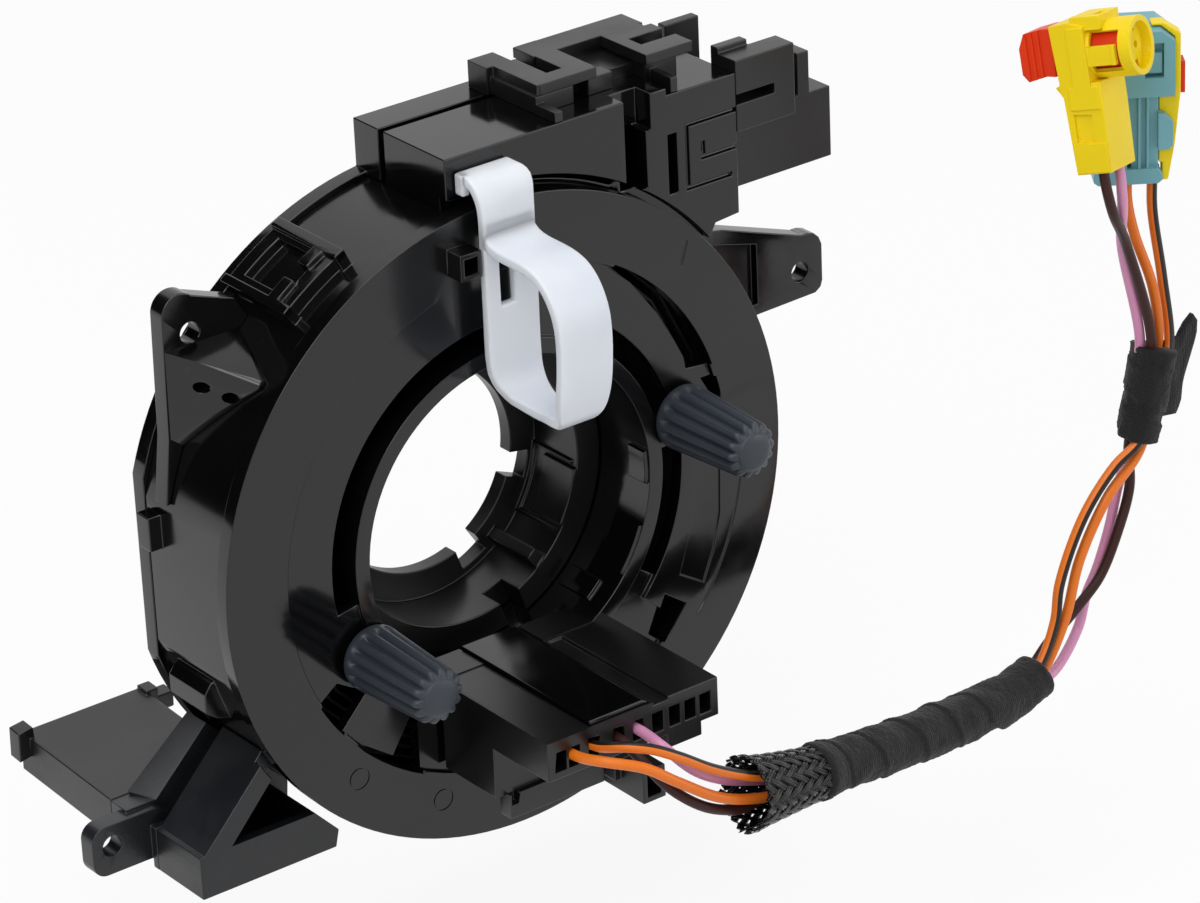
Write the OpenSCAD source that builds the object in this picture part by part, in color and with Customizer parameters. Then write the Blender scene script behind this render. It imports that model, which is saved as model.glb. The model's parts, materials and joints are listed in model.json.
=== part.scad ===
// Steering column clock spring: a rotor that turns inside a fixed drum, held centred by a white
// lock clip, with a taped wire pigtail and two airbag plugs.
// X runs to the right, Z up, and the rotor faces -Y. Every module draws its piece with the rotor's
// front face at y = 0, and seat() moves it back, so that the drum's back face lies at y = 0.

/* [Rotor] */
// Outer radius of the rotor's flange
rotor_r = 56; // [55.8:0.1:56.5]
// Thickness of the flange
rotor_thick = 3; // [2.4:0.1:3.1]
// Radius where the flange steps down to the inner plate
plate_r = 44.7; // [43:0.1:46]
// Inner radius of the collar
collar_r = 28.4; // [28.3:0.1:28.6]
// Wall of the collar
collar_wall = 2.8; // [2:0.1:2.9]
// Outer radius of the open arc slots beside the collar
slot_r = 35.1; // [34:0.1:36]
// Radius of the shaft bore in the hub ring
shaft_r = 18.4; // [17:0.1:19]
// Length of the shaft bore
shaft_len = 3; // [2:0.1:4]

/* [Drum] */
// Outer radius of the drum wall
drum_r = 55.3; // [55.2:0.1:55.4]
// Thickness of the drum wall
drum_wall = 2; // [1.6:0.1:2.2]
// Front edge of the drum, behind the rotor's face
drum_front = 3.4; // [3.3:0.1:3.6]
// Depth of the joint between the drum and the back cover
drum_back = 25.2; // [25:0.1:25.4]
// Depth of the back face
back_y = 28.4; // [28.3:0.1:28.8]
// Outer radius of the back cover
cover_r = 56.3; // [56:0.1:56.6]
// Distance of the left flat from the axis
flat_x = 53.8; // [53.3:0.1:54]
// Front plane of the ears
ear_y = 18; // [17:0.1:18.5]
// Thickness of the ears
ear_thick = 3.5; // [3:0.1:3.8]
// Radius of the screw holes in the ears
ear_hole_r = 1.8; // [1.5:0.1:2]

/* [Top box] */
// Left end of the top box
box_left = -7.2; // [-8:0.1:-6]
// Right end of the top box
box_right = 51.7; // [51:0.1:51.8]
// Height of the top box's upper face over the axis
box_top = 64.2; // [63:0.1:64.5]
// Wall thickness of the hollow boxes
shell_wall = 1.8; // [1.4:0.1:2]

/* [Side connector] */
// Right end of the side connector
side_end = 75.4; // [72:0.1:78]
// Underside of the side connector
side_low = 40.4; // [39:0.1:41]
// Upper face of the side connector
side_high = 53; // [52:0.1:54]

/* [Lower connector] */
// Left side of the lower connector
tray_left = -66; // [-67:0.1:-65]
// Right side of the lower connector
tray_right = -42.3; // [-42.6:0.1:-42.2]
// Upper face of the lower connector
tray_high = -37.9; // [-38.1:0.1:-37.8]
// Underside of the lower connector
tray_low = -45.2; // [-45.4:0.1:-45]
// How far the lower connector rises towards its back end, in degrees
tray_tilt = 3.2; // [0:0.1:5]
// How far back the lower connector reaches
tray_back = 51.3; // [48:0.1:53]

/* [Front block] */
// Depth of the block's front face in front of the rotor
block_front = -29; // [-29.5:0.1:-28.5]
// Left side of the block
block_left = -16.2; // [-16.5:0.1:-16]
// Right side of the block
block_right = 18.6; // [18.4:0.1:19]
// Upper face of the block
block_high = -24.1; // [-24.3:0.1:-24]
// Underside of the block's head
block_low = -31.1; // [-31.5:0.1:-30.8]
// Width of one terminal cell
cell_w = 2.2; // [2.1:0.1:2.3]
// Height of one terminal cell
cell_h = 3.6; // [3:0.1:3.8]

/* [Pin caps] */
// Length of a cap in front of the rotor
cap_len = 20; // [17:0.1:20.5]
// Radius of a cap at its base
cap_base_r = 5.7; // [5.5:0.05:6]
// Radius of a cap near its tip
cap_tip_r = 4.75; // [4.5:0.05:5]
// Radius of the post inside a cap
post_r = 3.2; // [3:0.05:3.3]
// Number of flutes round a cap
flutes = 14; // [10:1:14]

/* [Lock clip] */
// Left edge of the clip's band
clip_left = -5.4; // [-5.6:0.1:-5.2]
// Right edge of the clip's band
clip_right = 4.8; // [4.5:0.1:5]
// Thickness of the band
clip_thick = 1.8; // [1.6:0.1:2]

/* [Harness] */
// Radius of one wire
wire_r = 0.9; // [0.8:0.05:0.95]
// Outer radius of the braided sleeve at its mouth
braid_r = 6.6; // [6.4:0.1:6.8]
// Outer radius of the long tape wrap
tape_r = 4.6; // [4.5:0.1:4.8]

/* [Plugs] */
// Length of the lower body of a plug below its middle
plug_low = 11; // [10.5:0.5:11.5]
// Depth of a plug's body
plug_depth = 9.6; // [9:0.2:10]
// Radius of a plug's round nose
nose_r = 4.9; // [4.7:0.1:5]
// How far a plug's nose reaches from its middle
nose_reach = 9.5; // [9:0.5:10]
// Height of a plug's nose above its middle
nose_up = 8.8; // [8.7:0.1:8.9]

/* [Hidden] */
$fn = 96;
eps = 0.01;
big = 200;

collar_out_r = collar_r + collar_wall;
drum_in_r = drum_r - drum_wall;
flat_in_x = flat_x - 1.6;
plate_front = 0.9;
plate_back = 2.8;
collar_back = drum_back - 0.3;
shoulder_r = collar_r + 0.6;
shoulder_back = drum_back + 0.9;
hub_out_r = collar_r - 0.2;
hub_in_r = 23.5;
hub_front = 13.5;
hub_back = back_y;
hub_flange_r = collar_out_r + 0.3;
sink_r = hub_flange_r + 0.7;
gap_r = drum_r + 0.3;
arch_r = rotor_r + 1.5;
ear_back = ear_y + ear_thick;
rear_front = ear_back;

// Centres of the two posts on the rotor's face
post_upper = [35.4, 7.5];
post_lower = [-29.4, -14.8];
post_len = 14;

// Screw holes in the ears, and the small holes beside the upper left one
hole_upper_left = [-47.4, 41.9];
hole_right = [76, 15.5];
hole_lower_left = [-69.9, -42.3];
peg_holes = [[-49, 34.5], [-46.2, 33.1]];

// Middle of each terminal cell on the block's front face, and of the four that hold a wire
cells = [-13.6, -11, -7, -1.9, 2.1, 6.1, 9.6, 12.8, 15.9];
wired_cells = [-11, -7, -1.9, 2.1];
cell_mid = -28;
cell_depth = 14;

// The clip's loop, seen from the side: depth and height of its outer line
clip_loop = [[-2.2, 51.2], [-13, 51.2], [-16.4, 50.7], [-19.4, 49.1], [-21.3, 46.6], [-22.7, 44],
             [-23.2, 41], [-22.9, 34], [-21.9, 28.8], [-20, 25.2], [-17, 22.6], [-13, 21.4],
             [-9, 21.4], [-6, 22.4], [-3.6, 24.4], [-2.2, 27.5]];

// Middle line of each wire from its cell to its plug
route_orange = [[-11, -26, -28], [-11, -31, -27.5], [-9.5, -35.5, -27], [-4.5, -39, -28.5],
                [1, -40.5, -32.5], [9, -41.2, -38], [17, -41.3, -41], [26, -41.3, -42.5],
                [35, -40.1, -43.6], [53, -39, -45.5], [71, -38, -46], [80.8, -36.7, -44.4],
                [88, -36, -35.5], [91.5, -36, -25], [97.1, -36.6, -15.1], [106, -35.6, -8.3],
                [108.6, -34.6, 2.7], [110.3, -35, 10], [109, -35, 20], [107.9, -31.6, 29],
                [108.4, -29.3, 34.2], [108.5, -29.1, 39]];
route_striped = [[-7, -26, -28], [-7, -31, -27], [-5.5, -36, -25.5], [-2.5, -38.5, -26],
                 [2, -40, -28.5], [8, -41, -32.5], [17, -41.3, -37], [26, -41, -39.5],
                 [35, -40.1, -41.4], [53, -39, -43.2], [71, -38, -43.8], [80.4, -37.2, -41.9],
                 [85.6, -36.2, -35], [87, -36, -28], [92.5, -36, -17], [99.5, -36, -10],
                 [104.2, -36.9, -6.4], [109.1, -37.4, 3.2], [112.4, -35.5, 9], [113, -33, 20],
                 [112.8, -30.7, 32], [112.8, -30.7, 39]];
route_pink = [[2.1, -26, -28], [2.1, -31, -28], [2, -36, -28.5], [5.6, -38.5, -32.7],
              [11, -38.8, -36.3], [19, -37.5, -40], [26, -36.6, -42.5], [35, -37.6, -43.9],
              [53, -36.8, -45.5], [71, -35.8, -46.1], [79.9, -35.3, -45.7], [88, -33.4, -46],
              [94.8, -32, -40.5], [96.6, -32, -35], [99.1, -32, -30.7], [102.1, -31.8, -24],
              [105.3, -31, -16.1],
              [107.3, -32.9, -8.6], [106.6, -33.1, 2.5], [106.7, -34.4, 10.5], [101.6, -35.4, 30],
              [97.7, -39.8, 39.6], [96.8, -40.3, 44.8], [96.87, -39.44, 48.2]];
route_brown = [[-1.9, -26, -28], [-1.9, -31, -28.5], [-1.6, -35.5, -30.5], [1, -38, -34.5],
               [6, -39.3, -39], [11, -39.3, -41.8], [15.5, -39.3, -43], [26, -38.8, -41],
               [35, -37.9, -41.4], [53, -36.8, -43.2], [71, -35.8, -43.9], [80, -34.7, -43.6],
               [86.1, -34.4, -39.1], [93, -34, -35], [98, -34, -31], [102, -34, -24],
               [105.4, -33.3, -16.8], [104.8, -33.8, -8], [105.3, -36.6, 3.2], [107.6, -36.3, 10],
               [100.6, -37.6, 31], [94.8, -40.6, 39.4], [93.2, -40.6, 44.9], [93.29, -39.69, 48.4]];
// Middle lines of the sleeve and of the two tape wraps
route_braid = [[15.8, -40, -40.2], [22, -39.8, -41], [29, -39.2, -42], [35, -38.9, -42.6]];
route_tape = [[34, -38.9, -42.5], [44, -38.4, -43.6], [53, -37.9, -44.4], [62, -37.4, -44.8],
              [71, -36.9, -44.9], [77, -36.4, -44.4], [81, -36, -43.2]];
route_flag = [[105.6, -35, -6.6], [107.4, -35.4, 2.6], [109.2, -35.2, 9]];

// Where each plug's middle lies, and how it is turned
yellow_at = [95.4, -36, 57.3];
yellow_turn = [-9, -13, -65];
teal_at = [112.2, -29, 49];
teal_turn = [0, 0, 145];

// Moves a piece from the rotor's face plane to the shared frame
module seat() {
    translate([0, -back_y, 0]) children();
}

// A flat outline in X and Z, given thickness from depth y0 to depth y1
module slab(y0, y1) {
    translate([0, y1, 0]) rotate([90, 0, 0]) linear_extrude(y1 - y0) children();
}

// A slab with a round outline about the axis
module disc(y0, y1, r) {
    translate([0, y1, 0]) rotate([90, 0, 0]) cylinder(y1 - y0, r = r);
}

// A ring about the axis
module ring(y0, y1, r_in, r_out) {
    difference() {
        disc(y0, y1, r_out);
        disc(y0 - 1, y1 + 1, r_in);
    }
}

// A block from one corner to the other
module block(low, high) {
    translate(low) cube(high - low);
}

// A wedge from the axis outwards, between two angles
module wedge(a0, a1, reach = big) {
    polygon(concat([[0, 0]], [for (k = [0:4]) reach * [cos(a0 + (a1 - a0) * k / 4),
                                                      sin(a0 + (a1 - a0) * k / 4)]]));
}

// A ring between two angles
module arc(y0, y1, r_in, r_out, a0, a1) {
    intersection() {
        ring(y0, y1, r_in, r_out);
        slab(y0, y1) wedge(a0, a1);
    }
}

// A round hole or pin along Y at a point in X and Z
module along_y(at, y0, y1, r) {
    translate([at[0], y1, at[1]]) rotate([90, 0, 0]) cylinder(y1 - y0, r = r);
}

// A rectangle in X and Z with round corners
module soft_rect(low, high, r) {
    translate([low[0] + r, low[1]]) square([high[0] - low[0] - 2 * r, high[1] - low[1]]);
    translate([low[0], low[1] + r]) square([high[0] - low[0], high[1] - low[1] - 2 * r]);
    for (x = [low[0] + r, high[0] - r], z = [low[1] + r, high[1] - r])
        translate([x, z]) circle(r);
}

// A point at a radius and an angle about the axis
function spoke(r, a) = r * [cos(a), sin(a)];
// Direction of a route at one of its points
function heading(route, i) =
    let (a = route[max(i - 1, 0)], b = route[min(i + 1, len(route) - 1)], d = b - a) d / norm(d);
// Points of one ring of a tube, with its half width and half depth; no stretch runs along guide
function hoop(route, i, a, b, sides, guide) =
    let (t = heading(route, i), c = cross(t, guide), s = c / norm(c), u = cross(s, t))
    [for (k = [0:sides - 1]) route[i] + a * cos(360 * k / sides) * s + b * sin(360 * k / sides) * u];
// Faces between two rings that start at p and q
function skin(p, q, sides) =
    [for (k = [0:sides - 1]) [p + k, q + k, q + (k + 1) % sides, p + (k + 1) % sides]];

// A closed tube along a route
module sweep(route, r, sides = 8, guide = [1, 1, -1]) {
    n = len(route);
    polyhedron([for (i = [0:n - 1]) each hoop(route, i, r, r, sides, guide)],
               concat([[for (k = [0:sides - 1]) k]],
                      [for (i = [0:n - 2]) each skin(i * sides, (i + 1) * sides, sides)],
                      [[for (k = [sides - 1:-1:0]) (n - 1) * sides + k]]));
}

// A hollow tube along a route, whose half widths a and half depths b may change along it
module sleeve(route, a, b, wall, sides = 12, guide = [0, 1, 0]) {
    n = len(route);
    m = n * sides;
    polyhedron(concat([for (i = [0:n - 1]) each hoop(route, i, a[i], b[i], sides, guide)],
                      [for (i = [0:n - 1]) each hoop(route, i, a[i] - wall, b[i] - wall, sides, guide)]),
               concat([for (i = [0:n - 2]) each skin(i * sides, (i + 1) * sides, sides)],
                      [for (i = [0:n - 2]) each skin(m + (i + 1) * sides, m + i * sides, sides)],
                      skin(m, 0, sides),
                      skin(m - sides, 2 * m - sides, sides)));
}

// Outline of the drum at one radius, with its flat left side
module drum_outline(r, flat) {
    difference() {
        circle(r);
        translate([-big - flat, -big]) square([big, 2 * big]);
    }
}

// Front outline of the top box, from its left end to the side connector
module box_outline() {
    polygon([[box_left, 40], [box_left, box_top], [37.4, box_top], [37.4, 63],
             [box_right, 63], [box_right, 38.2], [46.7, 37.8], [44, 33], [30, 36], [0, 44]]);
}

// Upper left ear, from its tip beside the flat up to the screw hole
module ear_upper_left() {
    r = 3.5;
    polygon([[-54.4, 13.7], [-52.9, 24.8], [-52.4, 45.5], [-48.9, 49], [-38.6, 45.2],
             [-34, 38], [-44, 24], [-50, 14]]);
    translate([-48.9, 45.5]) circle(r);
}

module ear_right() {
    polygon([[50, 30], [59.5, 28.2], [76.6, 22.2], [77.9, 22.2], [79.3, 21.8], [80.4, 20.8],
             [81, 19.4], [81, 12.6], [80.6, 11.4], [79.4, 10.6], [66.5, 10.3], [53, 6]]);
}

module ear_lower_left() {
    soft_rect([-73.7, -47.4], [-59, -38.5], 2.6);
}

// Everything that the drum's own wall fills
module drum_space() {
    slab(-1, 60) drum_outline(drum_r, flat_x);
}

// Sloped walls in front of the mount of the lower connector
module lower_bracket() {
    foot = [-61.7, -41.4];
    head = [-48.2, -27.4];
    wall = 2.4;
    color("#26272a") difference() {
        union() {
            difference() {
                slab(drum_front, ear_y - 1.5)
                    polygon([[-62.5, -49], [-62.5, -41.3], [-40, -41.3], [-35.6, -46], [-36.3, -49]]);
                block([-60.9, drum_front + 1.8, -47.4], [-40.5, ear_y, -30]);
                disc(0, 40, arch_r);
            }
            slab(drum_front, ear_y - 1.5)
                polygon([foot, head, head + [wall, -wall], foot + [wall + 0.6, -wall]]);
        }
        drum_space();
        disc(drum_front - 1, drum_front + 1.8, arch_r);
    }
}

// Back plate, foot and carrier of the lower connector, with the screw ear beside them
module tray_mount() {
    color("#27282b") difference() {
        union() {
            slab(ear_y - 1.5, 19.6) polygon([[-60.5, -47], [-59.8, -43.4], [-46.2, -30], [-40, -36],
                                             [-36.5, -42], [-37, -48]]);
            slab(ear_y - 1.5, ear_y) polygon([[-62.5, -49], [-62.5, -41.3], [-40, -41.3], [-35.6, -46],
                                              [-36.3, -49]]);
            hull() {
                slab(19.5, 19.6) polygon([[-60.1, -37.9], [-49.5, -27.6], [-44.6, -33], [-57, -42.6]]);
                slab(23.9, 24) polygon([[-62.7, -37.4], [-50.1, -27.1], [-44.6, -33], [-57, -42.6]]);
            }
            slab(ear_y, ear_back) ear_lower_left();
            block([tray_left, 19.5, tray_low], [tray_right, 24, tray_high]);
        }
        drum_space();
        along_y(hole_lower_left, 0, 40, ear_hole_r);
    }
}

// Two hooked latches in a low frame on the drum's upper left
module snap_bracket() {
    difference() {
        arc(8, 25, drum_r - 0.5, 57.6, 115, 129);
        arc(11, 22, 55.9, 60, 118, 126);
    }
    arc(7, 25, drum_r - 0.5, 58.6, 115, 117);
    arc(10.4, 13, drum_r - 0.5, 58.6, 115, 120.5);
    arc(7, 25, drum_r - 0.5, 58.6, 127.4, 129);
    arc(10.4, 13, drum_r - 0.5, 58.6, 123.5, 129);
}

module drum_housing() {
    color("#26272a") difference() {
        union() {
            slab(drum_front, drum_back) drum_outline(drum_r, flat_x);
            snap_bracket();
            slab(9.5, 20) polygon([[-50, -13.4], [-54.2, -15], [-55.4, -16.6], [-55.4, -20],
                                   [-53.4, -21.5], [-48, -23]]);
            block([-56.2, 21, 5], [-53, 24.6, 11]);
        }
        slab(drum_front - 1, drum_back + 1) drum_outline(drum_in_r, flat_in_x);
    }
}

module top_box() {
    color("#26272a") difference() {
        slab(drum_front, 20) box_outline();
        drum_space();
        box_cuts();
    }
}

module upper_left_ear() {
    color("#26272a") difference() {
        union() {
            slab(ear_y, ear_back) ear_upper_left();
            gusset();
        }
        drum_space();
        along_y(hole_upper_left, 0, 40, ear_hole_r);
        for (p = peg_holes)
            along_y(p, 0, 40, 0.9);
    }
}

module right_ear() {
    color("#26272a") difference() {
        slab(ear_y, ear_back) ear_right();
        drum_space();
        along_y(hole_right, 0, 40, ear_hole_r);
        slab(17, 19.4) polygon([[57, 26], [66.5, 23.4], [66.5, 12.4], [57, 12.4]]);
    }
}

// Web that rises from the upper left ear to the drum's front
module gusset() {
    hull() {
        slab(ear_y - 0.1, ear_y) polygon([[-52.6, 25], [-52.4, 40], [-38, 40], [-40, 34], [-50, 23]]);
        slab(5.5, 5.6) polygon([[-43.4, 35.4], [-42.6, 36.4], [-42, 35.8], [-42.8, 34.9]]);
    }
}

// Slots in the front of the top box, its hollow, and the arch over the rotor's edge
module box_cuts() {
    difference() {
        disc(drum_front - 1, drum_front + 1.8, arch_r);
        disc(drum_front - 1, drum_front + 2, drum_r);
    }
    block([28.7, drum_front - 1, 48], [32.9, 18, 58]);
    block([28.7, drum_front - 1, 57.9], [34, drum_front + 4, box_top + 1]);
    block([37.4, drum_front - 1, 45.5], [39.2, 18, 56]);
    difference() {
        block([box_left + shell_wall, drum_front + shell_wall, 50], [27, 21, box_top - shell_wall]);
        disc(0, 40, drum_r + 1.2);
    }
    block([41, drum_front - 1, 45.2], [50.5, drum_front + 0.7, 45.9]);
    block([41, drum_front - 1, 45.2], [41.7, drum_front + 0.7, 57]);
    block([41, drum_front - 1, 56.3], [box_right + 1, drum_front + 0.7, 57]);
    block([44.2, drum_front - 1, 49.8], [45, drum_front + 0.7, 53]);
    block([44.2, drum_front - 1, 49.8], [box_right + 1, drum_front + 0.7, 50.6]);
}

module back_cover() {
    color("#212225") difference() {
        union() {
            slab(drum_back, back_y) drum_outline(cover_r, flat_x + 0.2);
            slab(drum_back - 1.6, drum_back + eps) difference() {
                circle(51.6);
                circle(50.4);
            }
            difference() {
                slab(rear_front, back_y) polygon([[box_left, 46], [box_left, box_top],
                    [31, box_top], [31, 44], [20, 44]]);
                disc(rear_front - 1, drum_back, gap_r);
            }
        }
        disc(0, 40, shoulder_r);
        disc(shoulder_back, 40, sink_r);
        for (a = [20, 140, 260])
            along_y(44 * [cos(a), sin(a)], 27.2, 40, 1.6);
    }
}

// Raised ribbons on the top box that curl round its latch slots, on lower feet
module top_latch_cover() {
    low = box_top;
    mid = 67.2;
    high = 69;
    color("#1d1e20") union() {
        block([14.2, 20.8, low], [19.4, 26, high]);
        block([15.6, 9, mid], [20.2, 21, high]);
        block([16.2, 8.9, mid], [27.6, 12.5, high]);
        block([23.2, 10, mid], [27.7, 25.4, high]);
        block([22.9, 19.6, mid], [45.4, 25.3, high]);
        block([36.6, 15.3, mid], [44.8, 19.7, high]);
        block([36.6, 15.3, mid], [46.2, 18.4, high]);
        block([36.6, 7.4, mid], [39.1, 16, high]);
        block([36.6, 7.4, mid], [46.2, 11.9, high]);
        block([15, 8.6, low], [18.6, 22, mid]);
        block([15, 8.6, low], [22.6, 11.4, mid]);
        block([26.1, 9.4, low], [31.1, 12.6, mid]);
        block([23.4, 19.8, low], [45, 25.2, mid]);
        block([37.4, 9, low - 1.2], [44, 19, mid]);
        block([15, 3.6, low], [16.6, 20, 66]);
        block([38.5, 3.6, low - 1.2], [39.9, 19, 65.6]);
    }
}

module side_connector_shell() {
    wall = 1.5;
    color("#1f2022") difference() {
        union() {
            block([box_right + 0.1, 8, side_low], [side_end, 26, side_high]);
            block([box_right + 0.1, drum_front, side_low + 12], [64.2, 8.2, 65]);
            block([box_right + 0.1, 8, side_high - 1], [58, 10, 66]);
            block([box_right + 0.1, 22, side_high - 1], [59, 24, 66]);
            block([68.5, 8, side_high - 1], [71, 14, 60.5]);
        }
        block([54.5, 8 + wall, side_low + wall], [side_end + 1, 26 - wall, side_high - wall]);
        block([box_right, drum_front - 1, 57.3], [59.9, 7, 59]);
    }
}

module side_connector_pins() {
    color("#b8a070") for (y = [12, 15.3, 18.6, 21.9], z = [44.4, 48.8])
        block([54.5, y - 0.5, z - 0.5], [68, y + 0.5, z + 0.5]);
}

// The lower connector's rise towards its back end
module tray_rise() {
    translate([0, 21, -38]) rotate([tray_tilt, 0, 0]) translate([0, -21, 38]) children();
}

module lower_connector_shell() {
    wall = 1.3;
    color("#1e1f21") difference() {
        tray_rise() difference() {
            union() {
                block([tray_left, 22, tray_low], [tray_right, tray_back, tray_high]);
                block([tray_left - 3, tray_back - 4, tray_high - 3.6],
                      [tray_left + 0.8, tray_back + 0.4, tray_high + 1.9]);
                block([tray_right - 0.8, tray_back - 3, tray_high - 4],
                      [tray_right + 1.6, tray_back, tray_high + 1.5]);
                block([tray_right - 0.8, tray_back - 3, tray_high - 4],
                      [tray_right + 4.6, tray_back, tray_high - 1]);
            }
            block([tray_left + wall, 27, tray_low + wall],
                  [tray_right - wall, tray_back + 2, tray_high - wall]);
        }
        block([-90, 0, -60], [-30, 24, -20]);
    }
}

module lower_connector_pins() {
    color("#b8a070") tray_rise() for (x = [-62.4:3.2:-46])
        block([x - 0.4, 27, -42], [x + 0.4, 38, -41.2]);
}

module rotor_face() {
    color("#232427") difference() {
        union() {
            ring(0, rotor_thick, plate_r - 0.5, rotor_r);
            ring(plate_front, plate_back, collar_r, plate_r);
            arc(0, plate_back, slot_r, plate_r, -42, 9);
            ring(0, collar_back, collar_r, collar_out_r);
            ring(rotor_thick - 0.5, 5, 49.4, 50.4);
            for (p = [post_upper, post_lower])
                along_y(p, -post_len, plate_back, post_r);
            block([-10, -3.6, 42.5], [-5.8, 1.5, 50.7]);
            collar_pads();
        }
        block([-9.2, -5, 43.4], [-6.6, 1, 49.8]);
        arc(-1, 5, collar_out_r, slot_r, -35, 4);
        arc(-1, 5, collar_out_r, slot_r, 7.5, 62);
        arc(-1, 5, collar_out_r, slot_r, 95, 190);
        slab(-1, 5) polygon([[30.5, -24.2], [34.9, -27.4], [30.1, -33.3], [27.4, -31]]);
        rim_slots();
        face_marks();
    }
}

// Openings just inside the flange
module rim_slots() {
    intersection() {
        disc(-1, 5, plate_r);
        slab(-1, 5) union() {
            polygon([[22.4, 37.8], [26.7, 33.9], [32, 26.7], [35.2, 21], [37, 17.4], [37.4, 15.1],
                     [46, 14.4], [46, 36], [30, 44]]);
            polygon([[40.4, 12.4], [46, 12.2], [46, 7.6], [44.1, 7.7], [42, 9.7]]);
            polygon([[-39.8, -21], [-35.7, -18], [-30, -21.4], [-35.8, -27.4]]);
            polygon([[-34.6, -28.9], [-30.4, -31.6], [-25.9, -34.8], [-20.6, -26.8], [-20.6, -41],
                     [-32, -38]]);
        }
    }
}

// Shallow marks on the face: a groove along the flange, a window, a tick and round ejector marks
module face_marks() {
    arc(-1, 0.3, 47.8, 48.2, -39, -4);
    slab(-1, 0.35) polygon([[37.9, -1.9], [43.1, -4.2], [42.8, -13], [41.2, -19.5], [38.9, -24.8],
                            [33.9, -21.7], [36.4, -14.5], [37.6, -8]]);
    slab(-1, 0.25) polygon([[36.3, 34.2], [36.7, 34.1], [38.1, 38.1], [37.7, 38.3]]);
    for (p = [[-33.2, -36], [-17, -45.9]]) difference() {
        along_y(p, -1, 0.15, 2);
        along_y(p, -2, 1, 1.75);
    }
}

// Low pads on the collar's inner wall
module collar_pads() {
    pad_r = collar_r - 0.6;
    arc(0.4, 7, pad_r, collar_r + 0.5, -39, -21);
    arc(4, 12, pad_r, collar_r + 0.5, -52, -44);
    arc(0.6, 5, pad_r, collar_r + 0.5, -6, 6);
}

module hub_ring() {
    color("#1b1c1e") difference() {
        union() {
            ring(hub_front, hub_back, hub_in_r, hub_out_r);
            ring(shoulder_back + 0.3, hub_back, shaft_r, hub_flange_r);
            ring(hub_back - shaft_len, hub_back, shaft_r, hub_out_r);
            arc(hub_front, 22, hub_in_r - 0.7, hub_in_r + 0.5, -33, -8);
            arc(14.7, 25.5, hub_in_r - 0.5, hub_in_r + 0.5, -36, -34.6);
            arc(14.7, 25.5, hub_in_r - 0.5, hub_in_r + 0.5, -6.4, -5);
            arc(24.6, 25.5, hub_in_r - 0.5, hub_in_r + 0.5, -36, -5);
            arc(14, 25.5, 20.8, hub_in_r + 0.5, -53, -47);
        }
        for (a = [110, 200, 290])
            slab(hub_front - 1, hub_front + 5) rotate(a) translate([hub_in_r - 2, -2]) square([8, 4]);
        arc(hub_back - shaft_len - 1, hub_back + 1, shaft_r - 2, 22.2, -22, -9);
        arc(hub_back - shaft_len - 1, hub_back + 1, shaft_r - 2, 22.2, -71, -57);
        arc(hub_back - shaft_len - 1, hub_back + 1, shaft_r + 1.2, 22.2, 20, 34);
    }
}

// Wound ribbon between the collar and the drum
module flat_cable() {
    turns = 6;
    inner = 38;
    pitch = 1.8;
    thick = 0.5;
    steps = 20;
    color("#4a4b4e") slab(7, 22) polygon(concat(
        [for (k = [0:turns * steps]) spoke(inner + pitch * k / steps, 360 * k / steps)],
        [for (k = [turns * steps:-1:0]) spoke(inner + thick + pitch * k / steps, 360 * k / steps)]));
}

module front_connector_block() {
    color("#232427") difference() {
        union() {
            block([block_left, block_front, block_low], [block_right, 0, block_high]);
            block([block_left, -14, -40.2], [9, 0, block_high]);
            intersection() {
                block([-16, -0.1, -27.9], [17, 7, block_high + 0.2]);
                disc(-1, 8, hub_out_r);
            }
            block([-14.1, -15, -44.5], [5.2, -12, -40]);
            block([8, block_front, -33.6], [15, -22, block_low + 0.5]);
            difference() {
                block([9.3, -20, -48.4], [14, -9, -42.3]);
                block([10.3, -21, -47.4], [13, -10, -43.3]);
            }
            block([8, -14, -46], [14, -8, -30]);
        }
        for (x = cells)
            block([x - cell_w / 2, block_front - 1, cell_mid - cell_h / 2],
                  [x + cell_w / 2, block_front + cell_depth, cell_mid + cell_h / 2]);
        block([-7.4, block_front + 0.4, block_high - 0.8], [4.8, 8, block_high + 5]);
        block([5.4, block_front - 1, block_high - 0.6], [8.3, -0.5, block_high + 5]);
        block([-13.8, -16, -42], [-12.2, -13.4, -40]);
    }
}

module connector_cover() {
    low = block_high - 0.8;
    color("#1c1d1f") slab(block_front + 0.6, 6.5)
        polygon([[-7.2, low], [-7.2, -23.3], [3.4, -23.3], [4.6, -23.9], [4.6, low]]);
}

module block_terminals() {
    floor_z = cell_mid - cell_h / 2;
    color("#c9a24a") for (x = wired_cells)
        block([x - 0.8, -25.8, floor_z], [x + 0.8, -17, floor_z + 2.6]);
}

// A fluted cap with a round base and a domed tip, over a post
module pin_cap(at) {
    taper = atan((cap_base_r - cap_tip_r) / cap_len);
    color("#5b6874") translate([at[0], 0, at[1]]) rotate([90, 0, 0]) difference() {
        rotate_extrude() polygon([[post_r + 0.1, 0], [cap_base_r - 0.4, 0], [cap_base_r, 0.6],
            [cap_base_r, 1.6], [cap_tip_r, cap_len - 1.8], [cap_tip_r - 0.7, cap_len - 0.6],
            [cap_tip_r - 1.8, cap_len], [0, cap_len], [0, post_len + 0.3], [post_r + 0.1, post_len + 0.3]]);
        for (k = [0:flutes - 1])
            rotate(360 * (k + 0.5) / flutes) translate([cap_base_r - 0.15, 0, 1.6])
                rotate([0, -taper, 0]) cylinder(cap_len + 2, r = 0.65, $fn = 24);
    }
}

module pin_cap_upper() {
    pin_cap(post_upper);
}

module pin_cap_lower() {
    pin_cap(post_lower);
}

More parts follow.
